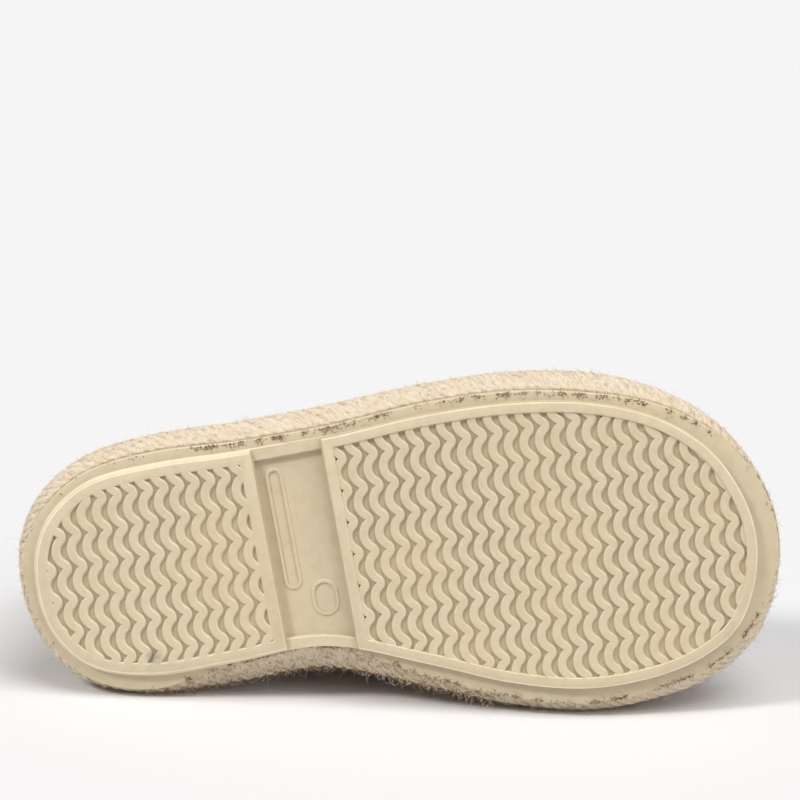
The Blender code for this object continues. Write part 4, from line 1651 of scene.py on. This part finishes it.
def cut_openings(obj, front):
    """Cuts the throat from its front end on, all above the topline, and the eyelet holes."""
    carve(obj, prism("throat", throat_outline(front), 30, 130))
    carve(obj, side_prism("above_topline", topline() + [(-10.0, 110.0)]))
    carve(obj, eyelet_drills())


class SHOE_OT_upper(bpy.types.Operator):
    """Build the upper: lined vamp, raised quarters with facings, the collar's binding and the folded edges"""

    bl_idname = "shoe.upper"
    bl_label = "Upper"

    def execute(self, context):
        vamp = last_sheet("upper_vamp")
        apply(vamp, "SOLIDIFY", thickness=VAMP_WALL, offset=-1.0, material_offset=1, use_even_offset=True)
        cut_openings(vamp, SLOT_FRONT)
        dress(vamp, [canvas_finish(), lining_finish()], ["upper"], smooth=40.0)

        quarters = last_sheet("upper_quarters", panel=True)
        wall = QUARTER_STEP + QUARTER_BITE
        outside = (QUARTER_STEP - QUARTER_BITE) / wall  # so that the wall stands out by QUARTER_STEP
        apply(quarters, "SOLIDIFY", thickness=wall, offset=outside, use_even_offset=True)
        region = smooth_line(QUARTER_LINE) + [(-20.0, 10.0), (-20.0, 80.0)]
        carve(quarters, side_prism("region", region), "INTERSECT")
        cut_openings(quarters, GAP_FRONT)
        dress(quarters, [canvas_finish()], ["upper"], smooth=40.0)

        rim = shifted(eased(collar_path(), 3), 0.0, (QUARTER_STEP - VAMP_WALL) / 2)
        edges = [cord("collar_binding", rim, BINDING_HALF_WIDTH, BINDING_HALF_HEIGHT, sides=12)]
        for side in (-1, 1):
            fold = shifted(eased(quarter_edge(side), 2), 0.0, QUARTER_STEP / 2 + 0.03)
            edges.append(cord("quarter_fold", fold, FOLD_RADIUS, sides=10))
        tape = woven_finish("cotton_tape", shade_of(colours().linen, 0.9), 0.3, slub=0.2, diagonal=True)
        dress(join("collar_binding", edges), [tape], ["upper"])
        return {"FINISHED"}


# Stitching


def stitch_model(length, radius):
    """One stitch: a short thread that dips into the cloth at both ends."""
    places = []
    for k in range(7):
        s = k / 6 * 2 - 1
        places.append((Vector((s * length / 2, 0, radius * (0.55 - 1.5 * abs(s) ** 3))), Vector((0, 0, 1))))
    return cord("stitch", places, radius, sides=6, swell=lambda k: 0.55 if k in (0, 6) else 1.0)


def sewn(name, rows):
    """Rows of stitches along paths of (point, normal), as one piece."""
    step = sizes().stitch_length / MM
    model = stitch_model(step * STITCH_SHARE, sizes().thread_radius / MM)
    copies = []
    for row in rows:
        places = spaced(row, step)
        for (a, na), (b, nb) in zip(places, places[1:]):
            copy = model.copy()
            copy.data = model.data.copy()
            bpy.context.scene.collection.objects.link(copy)
            normal = (na + nb).normalized()
            along = (b - a).normalized()
            side = normal.cross(along).normalized()
            turn = Matrix((along, side, along.cross(side))).transposed().to_4x4()
            copy.data.transform(Matrix.Translation((a + b) / 2) @ turn)
            copies.append(copy)
    bpy.data.objects.remove(model)
    sewing = thread_finish("sewing_thread", (0.8, 0.74, 0.6, 1), 0.3)
    return dress(join(name, copies), [sewing])


def twine_ends():
    """(place in the jute, place on the upper, direction outwards) of each bar of the twine."""
    ends = []
    for number in range(TWINE_BARS):
        point, out = rim_at(number / TWINE_BARS)
        lift = toe_spring(point.x)
        jute = point - out * TWINE_INSET + Vector((0, 0, JUTE_TOP - TWINE_SINK + lift))
        height = UPPER_BOTTOM + TWINE_REACH + lift
        turn = turn_of(point.x)
        side = 1 if point.y > 0 else -1
        rise = rise_where(turn, side, lambda p: p.z > height)
        surface, normal = on_last(turn, side, rise)
        raised = QUARTER_STEP if point.x < QUARTER_FOOT else 0.0
        ends.append((jute, ease(surface) + normal * (raised + 0.3), out))
    return ends


def twine_bar(jute, top, out):
    """A bar of twine: out of the upper, down over the feather line and into the jute."""
    path = [
        top - out * 1.4,
        top + out * 0.05,
        jute.lerp(top, 0.6) + out * 0.35,
        jute + out * 0.55,
        jute + out * 0.2 - Vector((0, 0, 1.6)),
    ]
    return cord("bar", calmed(spaced([(point, out) for point in path], 0.7), 2), BAR_RADIUS, sides=8)


def twine_run(start, end, out):
    """The twine's run along the jute from one bar to the next."""
    path = []
    for k in range(5):
        s = k / 4
        bow = math.sin(math.pi * s)
        point = start.lerp(end, s) + out * (0.55 - 0.25 * bow) + Vector((0, 0, 0.35 * bow))
        path.append((point, Vector((0, 0, 1))))
    return cord("run", path, RUN_RADIUS, sides=8)


class SHOE_OT_stitching(bpy.types.Operator):
    """Sew the collar, the facings and the quarters' fronts, and hold the upper to the jute with twine"""

    bl_idname = "shoe.stitching"
    bl_label = "Stitching"

    def execute(self, context):
        rows = [shifted(eased(collar_path(), 3), -SEAM_FROM_COLLAR, QUARTER_STEP)]
        for side in (-1, 1):
            front = eased(quarter_edge(side), 2)
            rows += [shifted(front, away * side, QUARTER_STEP)[2:-3] for away in SEAMS_FROM_QUARTER]
        sewn("seam_stitches", rows)
        threads = []
        ends = twine_ends()
        for (jute, top, out), (after, _, _) in zip(ends, ends[1:] + ends[:1]):
            threads.append(twine_bar(jute, top, out))
            threads.append(twine_run(jute, after, out))
        twine = thread_finish("waxed_twine", (0.86, 0.8, 0.66, 1), 0.5)
        dress(join("feather_twine", threads), [twine])
        return {"FINISHED"}


# Inside, tongue, eyelets and lace


class SHOE_OT_insole(bpy.types.Operator):
    """Build the insole sock, with its bound edge"""

    bl_idname = "shoe.insole"
    bl_label = "Insole"

    def execute(self, context):
        inset = FEATHER_INSET + VAMP_WALL + 0.6
        levels = [(0.0, 0.0), (1.1, 0.0), (1.7, 0.25), (2.0, 0.9), (1.95, 2.2), (1.75, 4.5), (1.6, 8.0)]
        insole = stacked("insole_sock", [(outline(inset + more), UPPER_BOTTOM + z) for z, more in levels])
        flat_map(insole)
        lift_toe(insole)
        shade = shade_of(colours().lining, 0.96)
        sock = woven_finish("cotton_sock", shade, 0.36, slub=0.25, wear=0.25, diagonal=True)
        dress(insole, [sock], ["insole"], smooth=50.0)
        return {"FINISHED"}


def tongue_place(share, row):
    """Point of the tongue's outer side and its normal: share -1 to 1 across, row 0 to 1 from root to top."""
    station = TONGUE_ROOT + (TONGUE_TOP - TONGUE_ROOT) * row
    turn = turn_of(station)
    rounded_from = 0.8
    end = max(0.0, (row - rounded_from) / (1 - rounded_from))
    half_width = TONGUE_HALF_WIDTH * (1 - TONGUE_ROUNDING * end * end)
    side = -1 if share < 0 else 1
    reach = abs(share) * half_width
    rise = min(0.985, rise_where(turn, side, lambda p: abs(p.y - crown_y(station)) < reach))
    point, normal = on_last(turn, side, rise)
    return point - normal * (VAMP_WALL + TONGUE_GAP), normal


class SHOE_OT_tongue(bpy.types.Operator):
    """Build the tongue, with its turned edge and row of stitches"""

    bl_idname = "shoe.tongue"
    bl_label = "Tongue"

    def execute(self, context):
        rows, cols = 44, 24
        points, cloth = [], []
        for i in range(rows + 1):
            line = [tongue_place(2 * j / cols - 1, i / rows)[0] for j in range(cols + 1)]
            points.append(line)
            cloth.append([(p.x, 2 * j / cols * TONGUE_HALF_WIDTH) for j, p in enumerate(line)])
        tongue = sheet("tongue_canvas", points, cloth=cloth)
        with editing(tongue):
            bpy.ops.mesh.normals_make_consistent(inside=False)
        mesh = tongue.data
        if sum(p.normal.z for p in mesh.polygons) < 0:
            mesh.flip_normals()
        apply(tongue, "SOLIDIFY", thickness=TONGUE_THICKNESS - 0.2, offset=-1.0, material_offset=1)
        corner = math.radians(60)
        apply(tongue, "BEVEL", width=0.45, segments=3, limit_method="ANGLE", angle_limit=corner)
        dress(tongue, [canvas_finish(), lining_finish()], ["tongue"], smooth=50.0)
        seam = [tongue_place(-TONGUE_SEAM, k / 20) for k in range(21)]
        seam += [tongue_place(TONGUE_SEAM * (k / 6 - 1), 0.965) for k in range(1, 12)]
        seam += [tongue_place(TONGUE_SEAM, 1 - k / 20) for k in range(21)]
        sewn("tongue_stitches", [calmed(spaced(seam, PATH_STEP), 3)])
        return {"FINISHED"}


class SHOE_OT_eyelets(bpy.types.Operator):
    """Build the six brass eyelets"""

    bl_idname = "shoe.eyelets"
    bl_label = "Eyelets"

    def execute(self, context):
        hole, wide, high = EYELET_HOLE_RADIUS, EYELET_RADIUS, EYELET_HEIGHT
        profile = [
            (hole - 0.02, -EYELET_SHANK),
            (hole - 0.02, 0.1),
            (hole + 0.06, 0.45 * high),
            (hole + 0.28, 0.86 * high),
            (hole + 0.55, high),
            (wide - 0.3, 0.8 * high),
            (wide - 0.06, 0.42 * high),
            (wide, 0.1),
            (wide - 0.08, 0.02),
            (hole + 0.2, 0.02),
            (hole + 0.1, -EYELET_SHANK),
        ]
        sides = 28
        turns = [2 * math.pi * k / sides for k in range(sides)]
        rows = [[(r * math.cos(a), r * math.sin(a), h) for a in turns] for r, h in profile + profile[:1]]
        names = {-1: "lateral", 1: "medial"}
        for number, (side, point, normal) in enumerate(eyelet_places()):
            name = f"eyelet_{names[side]}_{number // 2 + 1}"
            eyelet = sheet(f"{name}_brass", rows, closed=True)
            turn = normal.to_track_quat("Z", "Y").to_matrix().to_4x4()
            eyelet.data.transform(Matrix.Translation(point + normal * 0.2) @ turn)
            with editing(eyelet):
                bpy.ops.mesh.normals_make_consistent(inside=False)
            dress(eyelet, [brass_finish()], [name], smooth=50.0)
        return {"FINISHED"}


def lace_path():
    """One cord: out at a top eyelet, over and under the facings to the lowest row, and back the same way."""
    rows = {(k // 2, side): (point, normal) for k, (side, point, normal) in enumerate(eyelet_places())}
    over, under = EYELET_HEIGHT + 1.3, -3.4

    def down(row, side):
        point, normal = rows[(row, side)]
        return [(point + normal * h, normal) for h in (over * 0.8, 0.2, under)]

    def up(row, side):
        return down(row, side)[::-1]

    def bridge(a, b, height):
        (pa, na), (pb, nb) = rows[a], rows[b]
        start, end = pa + na * height, pb + nb * height
        places = []
        for k in range(1, 12):
            s = k / 12
            normal = na.lerp(nb, s).normalized()
            bow = (start - end).length * LACE_BOW * 4 * s * (1 - s)
            places.append((start.lerp(end, s) + normal * bow, normal))
        return places

    path = up(0, -1) + bridge((0, -1), (1, 1), over) + down(1, 1)
    path += bridge((1, 1), (2, -1), under + 0.2)
    path += up(2, -1) + bridge((2, -1), (2, 1), over) + down(2, 1)
    path += bridge((2, 1), (1, -1), under + 0.2)
    path += up(1, -1) + bridge((1, -1), (0, 1), over + 0.6) + down(0, 1)
    return path


class SHOE_OT_lace(bpy.types.Operator):
    """Lace the shoe: one braided cord that ends inside the top eyelets"""

    bl_idname = "shoe.lace"
    bl_label = "Lace"

    def execute(self, context):
        path = calmed(spaced(lace_path(), 0.45), 3)
        lace = cord("lace_braid", path, LACE_HALF_WIDTH, LACE_HALF_HEIGHT, sides=12)
        braid = thread_finish("braided_cotton", tuple(colours().lace), 0.62, braided=True)
        dress(lace, [braid], ["lace"])
        return {"FINISHED"}


# Stage


def camera_axes():
    """Directions to the right of the camera, up from it and ahead of it."""
    azimuth, elevation, roll = (math.radians(a) for a in (CAMERA_AZIMUTH, CAMERA_ELEVATION, CAMERA_ROLL))
    level = Vector((math.sin(azimuth), math.cos(azimuth), 0.0))
    ahead = level * math.cos(elevation) - Vector((0, 0, math.sin(elevation)))
    right = ahead.cross(Vector((0, 0, 1))).normalized()
    up = right.cross(ahead)
    return (
        right * math.cos(roll) + up * math.sin(roll),
        up * math.cos(roll) - right * math.sin(roll),
        ahead,
    )


class SHOE_OT_studio(bpy.types.Operator):
    """Set up the pale floor, the soft lights and the camera"""

    bl_idname = "shoe.studio"
    bl_label = "Studio"

    def execute(self, context):
        scene = context.scene
        pick()
        bpy.ops.mesh.primitive_plane_add(size=FLOOR_SIZE, location=FLOOR_CENTRE)
        floor = context.object
        floor.name = "studio_floor"
        bpy.ops.object.transform_apply(location=True, rotation=True, scale=True)
        material, tree, shader = new_material("white_card", Roughness=0.95, Specular_IOR_Level=0.1)
        card = blend(tree, grain(tree, object_place(tree), 900.0, 2.0), *FLOOR_COLOURS)
        tree.links.new(card, shader.inputs["Base Color"])
        floor.data.materials.append(material)

        for name, spot, power, spread in SUNS:
            pick()
            bpy.ops.object.light_add(type="SUN", location=spot)
            light = context.object
            light.name = name
            light.data.energy = power
            light.data.angle = math.radians(spread)
            light.rotation_euler = (-Vector(spot)).to_track_quat("-Z", "Y").to_euler()
        world = bpy.data.worlds.new("pale_room")
        world.use_nodes = True
        background = world.node_tree.nodes["Background"]
        background.inputs["Color"].default_value = ROOM_COLOUR
        background.inputs["Strength"].default_value = ROOM_POWER
        scene.world = world
        scene.view_settings.view_transform = "Standard"

        right, up, ahead = camera_axes()
        turn = Matrix((right, up, -ahead)).transposed().to_4x4()
        pick()
        bpy.ops.object.camera_add()
        camera = context.object
        camera.name = "studio_camera"
        camera.matrix_world = Matrix.Translation(CAMERA_AIM - ahead * sizes().view_distance) @ turn
        camera.data.lens = CAMERA_LENS
        camera.data.sensor_width = 36.0
        camera.data.shift_x, camera.data.shift_y = CAMERA_SHIFT
        camera.data.clip_end = 40.0
        scene.camera = camera
        return {"FINISHED"}


BUILD = (
    SHOE_OT_studio,
    SHOE_OT_outsole,
    SHOE_OT_plait,
    SHOE_OT_fibres,
    SHOE_OT_insole,
    SHOE_OT_upper,
    SHOE_OT_stitching,
    SHOE_OT_tongue,
    SHOE_OT_eyelets,
    SHOE_OT_lace,
)


class SHOE_PT_panel(bpy.types.Panel):
    bl_idname = "SHOE_PT_panel"
    bl_label = "Derby shoe"
    bl_space_type = "VIEW_3D"
    bl_region_type = "UI"
    bl_category = "Shoe"

    def draw(self, context):
        for group in (context.scene.shoe_sizes, context.scene.shoe_colours):
            box = self.layout.box()
            for name in type(group).__annotations__:
                box.prop(group, name)
        for operator in BUILD:
            self.layout.operator(operator.bl_idname)


CLASSES = (ShoeSizes, ShoeColours, *BUILD, SHOE_PT_panel)


def register():
    for cls in CLASSES:
        bpy.utils.register_class(cls)
    bpy.types.Scene.shoe_sizes = bpy.props.PointerProperty(type=ShoeSizes)
    bpy.types.Scene.shoe_colours = bpy.props.PointerProperty(type=ShoeColours)


def unregister():
    del bpy.types.Scene.shoe_colours
    del bpy.types.Scene.shoe_sizes
    for cls in reversed(CLASSES):
        bpy.utils.unregister_class(cls)


def main():
    register()
    for operator in BUILD:
        group, name = operator.bl_idname.split(".")
        getattr(getattr(bpy.ops, group), name)()


if __name__ == "__main__":
    main()
